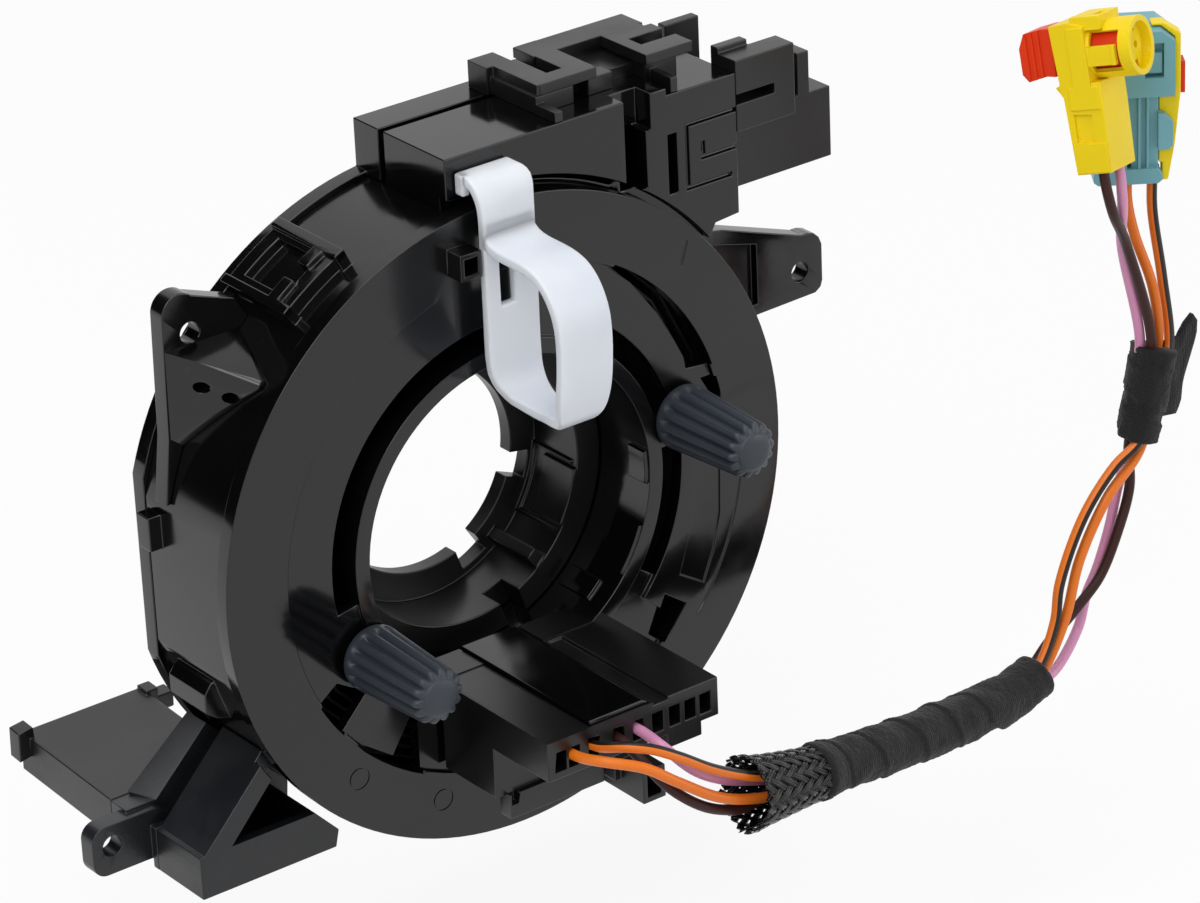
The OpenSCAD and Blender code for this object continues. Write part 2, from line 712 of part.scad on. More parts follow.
// A flat outline in Y and Z, given the clip's full width
module clip_band() {
    translate([clip_left, 0, 0]) rotate([90, 0, 90]) linear_extrude(clip_right - clip_left) children();
}

// The white clip: a band bent into a loop, with a hooked end that points into the top box
module lock_clip() {
    color("#f2f4f6") difference() {
        union() {
            clip_band() polygon(clip_loop);
            clip_band() polygon([[-3.9, 49.6], [-3.9, 62.5], [-2, 64.5], [3.1, 64.5], [3.1, 62.7],
                                 [-1.4, 62.7], [-2.2, 60], [-2.2, 49.6]]);
            block([clip_left - 1.9, -0.6, 60.8], [clip_left + 0.1, 2.9, 64.4]);
        }
        clip_band() offset(delta = -clip_thick) polygon(clip_loop);
        block([-2.6, -8, 37], [1.2, 0, 48.6]);
        slab(-30, 0) polygon([[-7, 18], [-7, 31], [-5.4, 31], [-5.2, 28.6], [-4.4, 26.2], [-3, 24],
                              [-1, 22.3], [1.2, 21.3], [1.5, 18]]);
    }
}

module wire_orange() {
    color("#d9772b") sweep(route_orange, wire_r);
}

module wire_striped() {
    color("#a5602c") sweep(route_striped, wire_r);
}

module wire_pink() {
    color("#e59bc4") sweep(route_pink, wire_r);
}

module wire_brown() {
    color("#3d2320") sweep(route_brown, wire_r);
}

module braided_sleeve() {
    half = [braid_r, 5.8, 5.3, 5.2];
    color("#151515") sleeve(route_braid, half, half, 0.5);
}

module tape_wrap_main() {
    half = [for (p = route_tape) tape_r];
    color("#111111") translate([0.9, 0, 0]) sleeve(route_tape, half, half, 0.6);
}

module tape_wrap_end() {
    color("#121212") sleeve(route_flag, [4.4, 4.6, 5], [3.8, 4, 3.4], 0.5);
}

// A round bar along X at the height of a plug's nose, in the plug's own frame
module nose_bar(x0, x1, r) {
    translate([x0, 0, nose_up]) rotate([0, 90, 0]) cylinder(x1 - x0, r = r);
}

// The ring that a lock's sleeve slides in, open towards the back
module lock_ring(x0, x1, inner, outer, back) {
    difference() {
        nose_bar(x0, x1, outer);
        nose_bar(x0 - 1, x1 + 1, inner);
        block([x0 - 1, back, 0], [x1 + 1, 6, 16]);
    }
}

module wire_holes(places) {
    for (p = places)
        translate([p[0], p[1], -plug_low - 1]) cylinder(4.6, r = 1.3);
}

// Yellow plug in its own frame: the nose along X, the wires out of the bottom
module yellow_shape() {
    half = plug_depth / 2;
    difference() {
        union() {
            slab(-half, half) polygon([[-2.9, -plug_low], [3.1, -plug_low], [3.4, -0.3], [3.4, 4],
                                       [-3.6, 4], [-4.6, 3.6], [-3.4, 1.9]]);
            slab(-half, half) polygon([[-3.8, 3.5], [1.8, 3.5], [1.8, 13.3], [-1, 14], [-4.4, 13.7]]);
            nose_bar(1.7, nose_reach, nose_r);
            block([-2.3, -half - 0.4, -0.3], [3, 0, 3.4]);
            block([-1.3, -half - 0.4, 3.4], [1.8, 0, 13.1]);
            block([-2.8, -half - 0.3, 0.2 - plug_low], [3, 0, -5.9]);
            block([-0.6, -4.4, 12.5], [4.6, 3.5, 14.8]);
        }
        wire_holes([[0.4, -2], [1.6, 1.4]]);
        block([-2.1, -6, -5.7], [1.1, 0.6 - half, -1.1]);
        block([2.6, -2.6, 14.2], [4, 1.5, 16]);
        lock_ring(-6, nose_reach + 1, 2.6, 3.9, 1.3);
        nose_bar(7.9, nose_reach + 1, 3.9);
        block([2.3, -6, 5.4], [7.4, -2.6, 12.1]);
        for (y = [-1.2, 1.2])
            translate([6.4, y, nose_up]) rotate([0, 90, 0]) cylinder(3, r = 0.6);
    }
    block([1.7, -half, 6.6], [6.9, -4.1, 9.9]);
    block([6.2, -half - 0.4, 6.6], [6.9, -half + 0.1, 9.9]);
}

// Lock with a grip outside and a sleeve that slides round the core of the nose
module yellow_lock_shape() {
    difference() {
        slab(-3.5, 3.5) polygon([[-10.8, 10.3], [-9.7, 12.7], [-6.7, 13.2], [-4.8, 13.2], [-4.8, 5.2],
                                 [-6.4, 5.4], [-9.8, 4.7], [-10.8, 6]]);
        for (x = [-9.4, -8.2, -7]) block([x, -4, 4], [x + 0.5, -3.1, 14]);
    }
    lock_ring(-5, 7.1, 2.85, 3.7, 1);
}

// Teal plug in its own frame, with a wide foot and a bump over its retainer
module teal_shape() {
    half = plug_depth / 2;
    difference() {
        union() {
            slab(-half, half) polygon([[-4.7, 4.3], [-4.7, 14], [-2.4, 15.9], [6, 15.9], [6, 4.3]]);
            block([-4.7, -half, 1.5], [6, -0.1, 5]);
            block([-2.1, -half, -9.2], [6, 3.4, 5]);
            for (x = [-0.5, 0.9, 3.2]) block([x, 3, -9.2], [x + 0.5, 4.3, 5]);
            slab(2.9, half) polygon([[-1.9, 1.3], [-3, 1.2], [-4.4, -0.2], [-4.4, -4.4], [-3.6, -5.2],
                                     [-1.9, -5.2]]);
            slab(-half, half - 0.2) polygon([[-2.7, -9.6], [-1.9, -8.5], [8.2, -8.5], [8.8, -9.3],
                                             [8.8, -10.6], [8, -11.2], [-2, -11.2], [-2.7, -10.6]]);
            nose_bar(5.9, nose_reach + 1, nose_r);
        }
        wire_holes([[3, 2.2], [-1.5, 1]]);
        block([-2.8, 3.1, 7.7], [0.3, 6, 13.8]);
        block([-5.3, -3.3, 3.1], [-1.6, -0.5, 8.1]);
        nose_bar(7.6, nose_reach + 2, 3.9);
    }
    block([-2.6, 3, 8.4], [0.2, 4.3, 12]);
}

// Lock beside the teal plug's retainer
module teal_lock_shape() {
    block([-7.1, -3.4, 2.8], [-5.1, -0.4, 8.4]);
    block([-5.3, -3, 3.4], [-1.8, -0.8, 7.8]);
}

module yellow_frame() {
    translate(yellow_at) rotate(yellow_turn) children();
}

module teal_frame() {
    translate(teal_at) rotate(teal_turn) children();
}

module yellow_plug_body() {
    color("#e8d321") yellow_frame() yellow_shape();
}

module yellow_plug_lock() {
    color("#e0401f") yellow_frame() yellow_lock_shape();
}

module teal_plug_body() {
    color("#79aeb0") teal_frame() teal_shape();
}

// Yellow strip behind the teal plug's front
module teal_plug_retainer() {
    color("#e3cf2c") teal_frame()
        slab(0, 2.7) polygon([[-3.9, -11.4], [-2.9, -11.4], [-2.9, -8.2], [-2.3, -8.2], [-2.3, 4.1],
                              [-4.9, 4.1], [-4.9, 14.1], [-2.5, 16.1], [-1, 16.1], [-1, 16.6],
                              [-3, 16.6], [-5.9, 14.6], [-5.9, 4], [-5, -5]]);
}

module teal_plug_lock() {
    color("#e0401f") teal_frame() teal_lock_shape();
}

seat() drum_housing();
seat() top_box();
seat() upper_left_ear();
seat() right_ear();
seat() lower_bracket();
seat() tray_mount();
seat() back_cover();
seat() top_latch_cover();
seat() side_connector_shell();
seat() side_connector_pins();
seat() lower_connector_shell();
seat() lower_connector_pins();
seat() rotor_face();
seat() hub_ring();
seat() flat_cable();
seat() front_connector_block();
seat() connector_cover();
seat() block_terminals();
seat() pin_cap_upper();
seat() pin_cap_lower();
seat() wire_orange();
seat() wire_striped();
seat() wire_pink();
seat() wire_brown();
seat() braided_sleeve();
seat() tape_wrap_main();
seat() tape_wrap_end();
seat() yellow_plug_body();
seat() yellow_plug_lock();
seat() teal_plug_body();
seat() teal_plug_retainer();
seat() teal_plug_lock();
seat() lock_clip();
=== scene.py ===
"""Steering column clock spring: moulded rotor and drum, lock clip, taped pigtail and two plugs.

Lengths in the classes are in millimetres, with depth counted from the rotor's front face, as in the
part's source. The helper `at` turns them into the shared frame, in metres.
"""

import json
import logging
import math
import random
from dataclasses import dataclass
from enum import Enum
from functools import cached_property
from typing import Callable, Iterable, Sequence, Union

import bmesh
import bpy
from mathutils import Matrix, Vector, noise
from mathutils.bvhtree import BVHTree

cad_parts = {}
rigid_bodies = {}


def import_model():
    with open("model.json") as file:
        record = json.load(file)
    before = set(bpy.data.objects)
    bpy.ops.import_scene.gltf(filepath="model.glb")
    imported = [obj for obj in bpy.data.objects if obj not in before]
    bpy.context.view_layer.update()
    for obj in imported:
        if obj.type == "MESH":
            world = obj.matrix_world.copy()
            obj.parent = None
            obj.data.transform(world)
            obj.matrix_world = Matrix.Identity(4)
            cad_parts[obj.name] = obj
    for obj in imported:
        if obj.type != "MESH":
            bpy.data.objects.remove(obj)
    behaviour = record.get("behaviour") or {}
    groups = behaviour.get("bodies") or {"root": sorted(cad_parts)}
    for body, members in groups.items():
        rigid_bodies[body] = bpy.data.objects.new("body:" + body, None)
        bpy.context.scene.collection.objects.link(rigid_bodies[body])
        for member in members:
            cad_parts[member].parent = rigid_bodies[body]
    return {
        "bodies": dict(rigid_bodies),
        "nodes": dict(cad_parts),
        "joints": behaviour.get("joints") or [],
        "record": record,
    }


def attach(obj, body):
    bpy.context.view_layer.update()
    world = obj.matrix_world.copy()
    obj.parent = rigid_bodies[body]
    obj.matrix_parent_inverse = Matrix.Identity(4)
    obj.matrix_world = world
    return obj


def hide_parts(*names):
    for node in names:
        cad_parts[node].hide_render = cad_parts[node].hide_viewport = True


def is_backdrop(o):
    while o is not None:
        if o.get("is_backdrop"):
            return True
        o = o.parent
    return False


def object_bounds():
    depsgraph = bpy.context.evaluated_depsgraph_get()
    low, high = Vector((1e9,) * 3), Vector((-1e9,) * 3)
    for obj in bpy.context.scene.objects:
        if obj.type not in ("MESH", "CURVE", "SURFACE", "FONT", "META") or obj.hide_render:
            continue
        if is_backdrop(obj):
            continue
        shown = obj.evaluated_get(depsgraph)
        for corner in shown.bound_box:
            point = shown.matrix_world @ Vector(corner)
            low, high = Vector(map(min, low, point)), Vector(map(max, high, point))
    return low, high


LOG = logging.getLogger("clock_spring")
MM = 0.001
FACE_DEPTH = 28.4
FLOAT, VECTOR, COLOR = "NodeSocketFloat", "NodeSocketVector", "NodeSocketColor"
WHITE = (1.0, 1.0, 1.0, 1.0)
SHADE = (0.002, 0.002, 0.002, 1.0)
DUST = (0.42, 0.41, 0.4, 1.0)

Point = tuple[float, float, float]
Span = tuple[float, float]
Radius = Callable[[float, float], Union[float, Span]]
Box = tuple[Point, Point]
Shift = tuple[Point, Point, Point]
Object = bpy.types.Object
Material = bpy.types.Material
Tree = bpy.types.NodeTree
Socket = bpy.types.NodeSocket
Value = Union[float, Sequence[float], Socket]
Mesh = bmesh.types.BMesh
Edge = bmesh.types.BMEdge
Verts = Sequence[bmesh.types.BMVert]
Frames = Sequence[tuple[Vector, Vector, Vector]]


class Body(Enum):
    """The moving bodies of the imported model."""

    STATOR = "stator"
    ROTOR = "rotor"
    CLIP = "clip"
    YELLOW_LOCK = "yellow_lock"
    TEAL_LOCK = "teal_lock"


class Pattern(Enum):
    """How a finish is broken up beyond its grain."""

    PLAIN = "plain"
    STRIPED = "striped"
    CLOTH = "cloth"
    FILAMENT = "filament"
    BRUSHED = "brushed"


def at(x: float, y: float, z: float) -> Vector:
    """Turns millimetres from the rotor's face into a point of the shared frame, in metres."""
    return Vector((x, y - FACE_DEPTH, z)) * MM


# Node groups and finishes


class Graph:
    """A node tree being wired, with the few nodes that the finishes and the studio need."""

    def __init__(self, tree: Tree) -> None:
        """Starts on a tree."""
        self.tree = tree

    def add(self, kind: str, feeds: dict[Union[str, int], Value] | None = None) -> bpy.types.Node:
        """Adds a node.

        Args:
            kind: Its type, without the words ShaderNode.
            feeds: What goes into its inputs, by name or number.

        Returns:
            The node.
        """
        node = self.tree.nodes.new(f"ShaderNode{kind}")
        for label, value in (feeds or {}).items():
            self.feed(value, node.inputs[label])
        return node

    def feed(self, value: Value, socket: Socket) -> None:
        """Links a socket, or sets it where the value is a constant."""
        if isinstance(value, Socket):
            self.tree.links.new(value, socket)
        else:
            socket.default_value = value

    def group(self, tree: Tree, **values: Value) -> Sequence[Socket]:
        """Places a shared group, feeds its inputs and returns its outputs."""
        node = self.add("Group")
        node.node_tree = tree
        for label, value in values.items():
            self.feed(value, node.inputs[label])
        return node.outputs

    def math(self, kind: str, *values: Value) -> Socket:
        """The result of a Math node."""
        node = self.add("Math", dict(enumerate(values)))
        node.operation = kind
        return node.outputs[0]

    def times(self, a: Value, b: Value) -> Socket:
        """The product of two values."""
        return self.math("MULTIPLY", a, b)

    def plus(self, a: Value, b: Value) -> Socket:
        """The sum of two values."""
        return self.math("ADD", a, b)

    def ridges(self, value: Socket, rate: float) -> Socket:
        """Rows of rounded ridges: the absolute sine of a value times a rate."""
        return self.math("ABSOLUTE", self.math("SINE", self.times(value, rate)))

    def noise(self, place: Socket, scale: Value, detail: float) -> Socket:
        """The value of a noise texture."""
        return self.add("TexNoise", {"Vector": place, "Scale": scale, "Detail": detail}).outputs[0]

    def ramp(self, value: Socket, low: float, high: float, to_low: float = 0.0,
             to_high: float = 1.0) -> Socket:
        """Maps low to high smoothly onto to_low to to_high."""
        node = self.add("MapRange", {"Value": value, "From Min": low, "From Max": high, "To Min": to_low,
                                     "To Max": to_high})
        node.interpolation_type = "SMOOTHSTEP"
        return node.outputs[0]

    def mix(self, factor: Value, a: Value, b: Value) -> Socket:
        """The blend of two colours."""
        node = self.add("Mix")
        node.data_type = "RGBA"
        for number, value in ((0, factor), (6, a), (7, b)):
            self.feed(value, node.inputs[number])
        return node.outputs[2]

    def stretch(self, place: Socket, scale: Point, turn: Point = (0.0, 0.0, 0.0)) -> Socket:
        """A place scaled and turned, which draws a noise out into lines."""
        return self.add("Mapping", {"Vector": place, "Scale": scale, "Rotation": turn}).outputs["Vector"]

    def split(self, place: Socket) -> Sequence[Socket]:
        """The X, Y and Z of a place."""
        return self.add("SeparateXYZ", {"Vector": place}).outputs

    def seen(self) -> Socket:
        """1 for what the camera, gloss or a clear body sees, and 0 for plain light."""
        path = self.add("LightPath").outputs
        direct = self.plus(path["Is Camera Ray"], path["Is Glossy Ray"])
        return self.math("MINIMUM", self.plus(direct, path["Is Transmission Ray"]), 1.0)


class Effects:
    """Shader node groups that several finishes share, each built on first use."""

    @staticmethod
    def _start(name: str, inputs: dict[str, Union[float, str]],
               **outputs: str) -> tuple[Graph, Sequence[Socket], Sequence[Socket]]:
        """Makes an empty group with its sockets.

        Args:
            name: Name of the group.
            inputs: Default of each input that is a number, and kind of each other one.
            **outputs: Kind of each output.

        Returns:
            The group's graph, what comes in, and the sockets that take what goes out.
        """
        tree = bpy.data.node_groups.new(name, "ShaderNodeTree")
        for label, given in inputs.items():
            kind = given if isinstance(given, str) else FLOAT
            socket = tree.interface.new_socket(name=label, in_out="INPUT", socket_type=kind)
            if kind == FLOAT:
                socket.default_value = given
        for label, kind in outputs.items():
            tree.interface.new_socket(name=label, in_out="OUTPUT", socket_type=kind)
        return Graph(tree), tree.nodes.new("NodeGroupInput").outputs, tree.nodes.new("NodeGroupOutput").inputs

    @cached_property
    def grain(self) -> Tree:
        """Fine moulded texture and slow waviness at a Place, as one Height."""
        graph, given, result = self._start("Grain", {
            "Place": VECTOR, "Scale": 900.0, "Fine": 0.5, "Waves": 0.3}, Height=FLOAT)
        fine = graph.times(graph.noise(given["Place"], given["Scale"], 3.0), given["Fine"])
        slow = graph.times(graph.noise(given["Place"], 55.0, 1.0), given["Waves"])
        graph.feed(graph.plus(fine, slow), result["Height"])
        return graph.tree

    @cached_property
    def handling(self) -> Tree:
        """Smudges and faint scuffs at a Place, as a Mask of about 0 where clean and 1 where marked."""
        graph, given, result = self._start(
            "Handling", {"Place": VECTOR, "Scale": 40.0, "Scuffs": 0.3}, Mask=FLOAT)
        blot = graph.ramp(graph.noise(given["Place"], given["Scale"], 4.0), 0.42, 0.7)
        drawn = graph.stretch(given["Place"], (40.0, 900.0, 260.0), (0.4, 0.9, 0.3))
        line = graph.ramp(graph.noise(drawn, 1.0, 2.0), 0.66, 0.74)
        graph.feed(graph.plus(blot, graph.times(line, given["Scuffs"])), result["Mask"])
        return graph.tree

    @cached_property
    def drift(self) -> Tree:
        """Slow change from a Clean to a Worn colour over a Place, with specks of Dust."""
        graph, given, result = self._start("Drift", {
            "Place": VECTOR, "Clean": COLOR, "Worn": COLOR, "Scale": 30.0, "Dust": 0.05}, Color=COLOR)
        slow = graph.ramp(graph.noise(given["Place"], given["Scale"], 3.0), 0.35, 0.75)
        mixed = graph.mix(slow, given["Clean"], given["Worn"])
        speck = graph.ramp(graph.noise(given["Place"], 1400.0, 2.0), 0.7, 0.76)
        graph.feed(graph.mix(graph.times(speck, given["Dust"]), mixed, DUST), result["Color"])
        return graph.tree

    @cached_property
    def weave(self) -> Tree:
        """Crossed threads of a cloth in the piece's own UV map, as Height and the Gap between them."""
        graph, given, result = self._start(
            "Weave", {"UV": VECTOR, "Along": 3.0, "Across": 90.0}, Height=FLOAT, Gap=FLOAT)
        u, v = (graph.ridges(graph.times(axis, given[rate]), math.pi)
                for axis, rate in zip(graph.split(given["UV"]), ("Along", "Across")))
        height = graph.plus(graph.times(graph.math("MAXIMUM", u, v), 0.4),
                            graph.times(graph.times(u, v), 0.6))
        graph.feed(height, result["Height"])
        graph.feed(graph.math("SUBTRACT", 1.0, height), result["Gap"])
        return graph.tree


def linear(code: str) -> tuple[float, float, float, float]:
    """Turns a hex colour, rrggbb, into linear red, green, blue and alpha."""
    parts = [int(code[i:i + 2], 16) / 255 for i in (0, 2, 4)]
    return tuple(p / 12.92 if p <= 0.04045 else ((p + 0.055) / 1.055) ** 2.4 for p in parts) + (1.0,)


@dataclass(frozen=True)
class Finish:
    """One surface finish: its colours, gloss, relief and pattern."""

    name: str
    clean: str
    worn: str
    rough: Span
    pattern: Pattern = Pattern.PLAIN
    grain_scale: float = 900.0
    fine: float = 0.4
    waves: float = 0.3
    relief: float = 0.00002
    scuffs: float = 0.3
    dust: float = 0.03
    specular: float = 0.5
    metallic: float = 0.0
    sheen: float = 0.0
    subsurface: float = 0.0
    glow_radius: float = 0.002
    stripe: str = "140c0a"
    slot: str = ""

    def make(self, effects: Effects) -> Material:
        """Builds the finish as a node material.

        Args:
            effects: The shared node groups.

        Returns:
            The material.
        """
        material = bpy.data.materials.new(self.name)
        material.use_nodes = True
        graph = Graph(material.node_tree)
        place = graph.add("TexCoord").outputs
        spot = place["Object"]
        height = graph.group(effects.grain, Place=spot, Scale=self.grain_scale, Fine=self.fine,
                             Waves=self.waves)["Height"]
        marks = graph.group(effects.handling, Place=spot, Scuffs=self.scuffs)["Mask"]
        colour = graph.group(effects.drift, Place=spot, Clean=linear(self.clean), Worn=linear(self.worn),
                             Dust=self.dust)["Color"]
        height, colour = self._patterned(graph, effects, place, height, colour)
        bump = graph.add("Bump", {"Strength": 1.0, "Distance": self.relief, "Height": height})
        feeds = {
            "Base Color": colour, "Roughness": graph.ramp(marks, 0.0, 1.0, *self.rough),
            "Normal": bump.outputs["Normal"], "Metallic": self.metallic, "Specular IOR Level": self.specular,
            "Sheen Weight": self.sheen, "Sheen Roughness": 0.5, "Subsurface Weight": self.subsurface,
            "Subsurface Radius": (1.0, 1.0, 1.0), "Subsurface Scale": self.glow_radius}
        for label, value in feeds.items():
            graph.feed(value, material.node_tree.nodes["Principled BSDF"].inputs[label])
        return material

    def _patterned(self, graph: Graph, effects: Effects, place: Sequence[Socket], height: Socket,
                   colour: Socket) -> tuple[Socket, Socket]:
        """Adds the finish's pattern to its height and colour.

        Args:
            graph: The material's graph.
            effects: The shared node groups.
            place: The outputs of its Texture Coordinate node.
            height: The height so far.
            colour: The colour so far.

        Returns:
            The new height and colour.
        """
        if self.pattern is Pattern.CLOTH:
            cloth = graph.group(effects.weave, UV=place["UV"], Along=2.2, Across=60.0)
            height = graph.plus(graph.times(cloth["Height"], 0.5), height)
            colour = graph.mix(graph.times(cloth["Gap"], 0.5), colour, SHADE)
        elif self.pattern is Pattern.STRIPED:
            along, around, _ = graph.split(place["UV"])
            twist = graph.ramp(along, 40.0, 100.0, 0.18, 0.55)
            turn = graph.math("FRACT", graph.plus(graph.math("SUBTRACT", around, twist), 1.0))
            off = graph.math("ABSOLUTE", graph.math("SUBTRACT", turn, 0.5))
            colour = graph.mix(graph.ramp(off, 0.2, 0.215), linear(self.stripe), colour)
        elif self.pattern is Pattern.FILAMENT:
            height = graph.plus(graph.ridges(graph.split(place["UV"])[1], 8 * math.pi), height)
        elif self.pattern is Pattern.BRUSHED:
            lines = graph.noise(graph.stretch(place["Object"], (900.0, 60.0, 900.0)), 1.0, 2.0)
            height = graph.plus(graph.times(lines, 1.2), height)
        return height, colour


WIRE = {"grain_scale": 700.0, "dust": 0.02}
FINISHES: dict[str, Finish] = {finish.name: finish for finish in (
    Finish("black_gloss", "060607", "0a0a0b", (0.10, 0.22), fine=0.10, waves=0.8, relief=0.00003, dust=0.02),
    Finish("black_satin", "0b0b0c", "131314", (0.30, 0.42), fine=0.6, waves=0.4),
    # Brushed lines and roughness are real; the base colour, lighter and bluer than black_gloss, is painted
    # light for the light that the bracket walls and the tray catch.
    Finish("black_brushed_painted_light", "101216", "15171b", (0.32, 0.46), Pattern.BRUSHED, fine=0.2, waves=0.6,
           relief=0.00003, dust=0.02, slot="black_gloss"),
    Finish("terminal_metal", "c8a24c", "8d6f33", (0.25, 0.45), metallic=1.0, relief=0.00001),
    Finish("ribbon_film", "3a3b3e", "1c1d1f", (0.2, 0.35)),
    Finish("cap_rubber", "2a2f36", "363c44", (0.42, 0.56), grain_scale=1500.0, fine=0.8, waves=0.2,
           relief=0.00003, specular=0.4),
    Finish("clip_white", "e3e7ee", "d5dbe6", (0.32, 0.42), fine=0.2, waves=0.5, dust=0.0, subsurface=0.6,
           glow_radius=0.003),
    Finish("wire_orange", "e8771d", "d86a14", (0.34, 0.45), specular=0.35, **WIRE),
    Finish("wire_striped", "e8771d", "d86a14", (0.34, 0.45), Pattern.STRIPED, specular=0.35, **WIRE),
    Finish("wire_pink", "dc97bd", "cf86ae", (0.34, 0.45), **WIRE),
    Finish("wire_brown", "301512", "3e1d19", (0.42, 0.54), specular=0.25, **WIRE),
    Finish("braid_black", "050506", "0b0b0d", (0.2, 0.34), Pattern.FILAMENT, relief=0.00008, specular=0.4),
    Finish("tape_black", "050506", "0c0c0d", (0.8, 0.95), Pattern.CLOTH, fine=1.3, waves=0.6,
           grain_scale=1500.0, relief=0.00018, specular=0.35, dust=0.08, sheen=0.12),
    Finish("plug_yellow", "f5d900", "eac900", (0.34, 0.46), fine=0.3, specular=0.3, dust=0.01,
           subsurface=0.08, glow_radius=0.001),
    Finish("plug_teal", "6fa9b4", "619ca8", (0.36, 0.48), fine=0.3, dust=0.01),
    Finish("lock_red", "e43a04", "d22c02", (0.34, 0.46), fine=0.3, specular=0.25, dust=0.01,
           subsurface=0.05, glow_radius=0.001),
)}


class Palette:
    """The materials of the finishes, each made on first use."""

    def __init__(self) -> None:
        """Starts with no material made."""
        self.effects = Effects()
        self.made: dict[str, Material] = {}

    def get(self, name: str) -> Material:
        """The material of a finish."""
        if name not in self.made:
            self.made[name] = FINISHES[name].make(self.effects)
        return self.made[name]


# Mesh helpers


def sharp_edges(bm: Mesh, limit: float) -> list[Edge]:
    """The edges whose two faces turn by more than a limit in degrees."""
    return [e for e in bm.edges if len(e.link_faces) == 2 and e.calc_face_angle(0) > math.radians(limit)]


def round_off(bm: Mesh, edges: Sequence[Edge], width: float, segments: int = 2) -> None:
    """Rounds edges.

    Args:
        bm: The mesh.
        edges: Its edges to round.
        width: Size of the rounding, in the mesh's unit.
        segments: Steps of the rounding.
    """
    bmesh.ops.bevel(bm, geom=edges, offset=width, offset_type="OFFSET", segments=segments, profile=0.5,
                    affect="EDGES", material=-1, clamp_overlap=False)


def add_block(bm: Mesh, low: Vector, high: Vector, round_by: float) -> None:
    """Adds a block with rounded edges.

    Args:
        bm: The mesh that gets it.
        low: Lowest corner.
        high: Highest corner.
        round_by: Radius of its edges.
    """
    place = Matrix.Translation((low + high) / 2) @ Matrix.Diagonal((*(high - low), 1.0))
    made = bmesh.ops.create_cube(bm, size=1.0, matrix=place)["verts"]
    round_off(bm, list({e for v in made for e in v.link_edges}), round_by)


class Shape:
    """A mesh under construction, drawn in millimetres from the rotor's face with bmesh operators."""

    def __init__(self) -> None:
        """Starts an empty mesh with its UV layer."""
        self.bm = bmesh.new()
        self.uv = self.bm.loops.layers.uv.new("UVMap")

    def loft(self, rings: Sequence[Sequence[Vector]]) -> list[Verts]:
        """A closed skin over rings of points, with a UV map of millimetres along and turns around.

        Args:
            rings: Points of each ring, the same number in each.

        Returns:
            The vertices of each ring.
        """
        sides = len(rings[0])
        rows = [bmesh.ops.create_circle(self.bm, cap_ends=False, segments=sides, radius=1.0)["verts"]]
        for v, spot in zip(rows[0], rings[0]):
            v.co = spot
        middle = [sum(ring, Vector()) / sides for ring in rings]
        along = 0.0
        for i in range(1, len(rings)):
            ring = rows[-1]
            edges = [self.bm.edges.get((ring[k], ring[(k + 1) % sides])) for k in range(sides)]
            grown = bmesh.ops.extrude_edge_only(self.bm, edges=edges)["geom"]
            fresh = {v for v in grown if isinstance(v, bmesh.types.BMVert)}
            after = [next(e.other_vert(v) for e in v.link_edges if e.other_vert(v) in fresh) for v in ring]
            for v, spot in zip(after, rings[i]):
                v.co = spot
            step = (middle[i] - middle[i - 1]).length
            for k in range(sides):
                n = (k + 1) % sides
                face = next(f for f in edges[k].link_faces if after[k] in f.verts)
                ends = along + step
                spots = {ring[k]: (along, k), ring[n]: (along, k + 1), after[k]: (ends, k),
                         after[n]: (ends, k + 1)}
                for loop in face.loops:
                    u, turn = spots[loop.vert]
                    loop[self.uv].uv = (u, turn / sides)
            rows.append(after)
            along += step
        self.bm.faces.new(rows[0])
        self.bm.faces.new(rows[-1])
        return rows

    def tube(self, route: Sequence[Vector], radius: Radius, sides: int) -> None:
        """A closed tube along a line.

        Args:
            route: Centre of each ring.
            radius: Gives a radius, or half width and half depth, from distance along and angle.
            sides: Points on each ring.
        """
        rings, along, last = [], 0.0, route[0]
        for centre, side, up in parallel_frames(route):
            along += (centre - last).length
            last = centre
            ring = []
            for k in range(sides):
                angle = 2 * math.pi * k / sides
                size = radius(along, angle)
                a, b = size if isinstance(size, tuple) else (size, size)
                ring.append(centre + side * (a * math.cos(angle)) + up * (b * math.sin(angle)))
            rings.append(ring)
        self.loft(rings)

    def piece(self, kit: "Kit", node: str, finish: str, body: Body = Body.ROTOR, outward: bool = True,
              flat: bool = False) -> Object:
        """Ends the mesh and makes the piece that stands for a CAD node.

        Args:
            kit: The workshop.
            node: Name of the CAD node.
            finish: Name of its finish.
            body: The body that it rides on.
            outward: Whether doubles are merged and normals turned outwards.
            flat: Whether flat faces keep flat shading beside rounded edges.

        Returns:
            The piece.
        """
        if outward:
            bmesh.ops.remove_doubles(self.bm, verts=self.bm.verts, dist=1e-4)
            bmesh.ops.recalc_face_normals(self.bm, faces=self.bm.faces)
        bmesh.ops.translate(self.bm, verts=self.bm.verts, vec=(0, -FACE_DEPTH, 0))
        bmesh.ops.scale(self.bm, verts=self.bm.verts, vec=(MM, MM, MM))
        return kit.place(self.bm, node, finish, body, flat)


def parallel_frames(route: Sequence[Vector]) -> Iterable[tuple[Vector, Vector, Vector]]:
    """Gives each point of a line with two directions across it that don't twist.

    Args:
        route: Points of the line.

    Yields:
        The point, its side direction and its up direction.
    """
    last = len(route) - 1
    heading = [(route[min(i + 1, last)] - route[max(i - 1, 0)]).normalized() for i in range(last + 1)]
    guide = Vector((0, 0, 1)) if abs(heading[0].z) < 0.9 else Vector((1, 0, 0))
    side = heading[0].cross(guide).normalized()
    for i, ahead in enumerate(heading):
        side = (side - ahead * side.dot(ahead)).normalized()
        yield route[i], side, ahead.cross(side)


def span_length(route: Sequence[Vector]) -> float:
    """Length of a line through points."""
    return sum((b - a).length for a, b in zip(route, route[1:]))


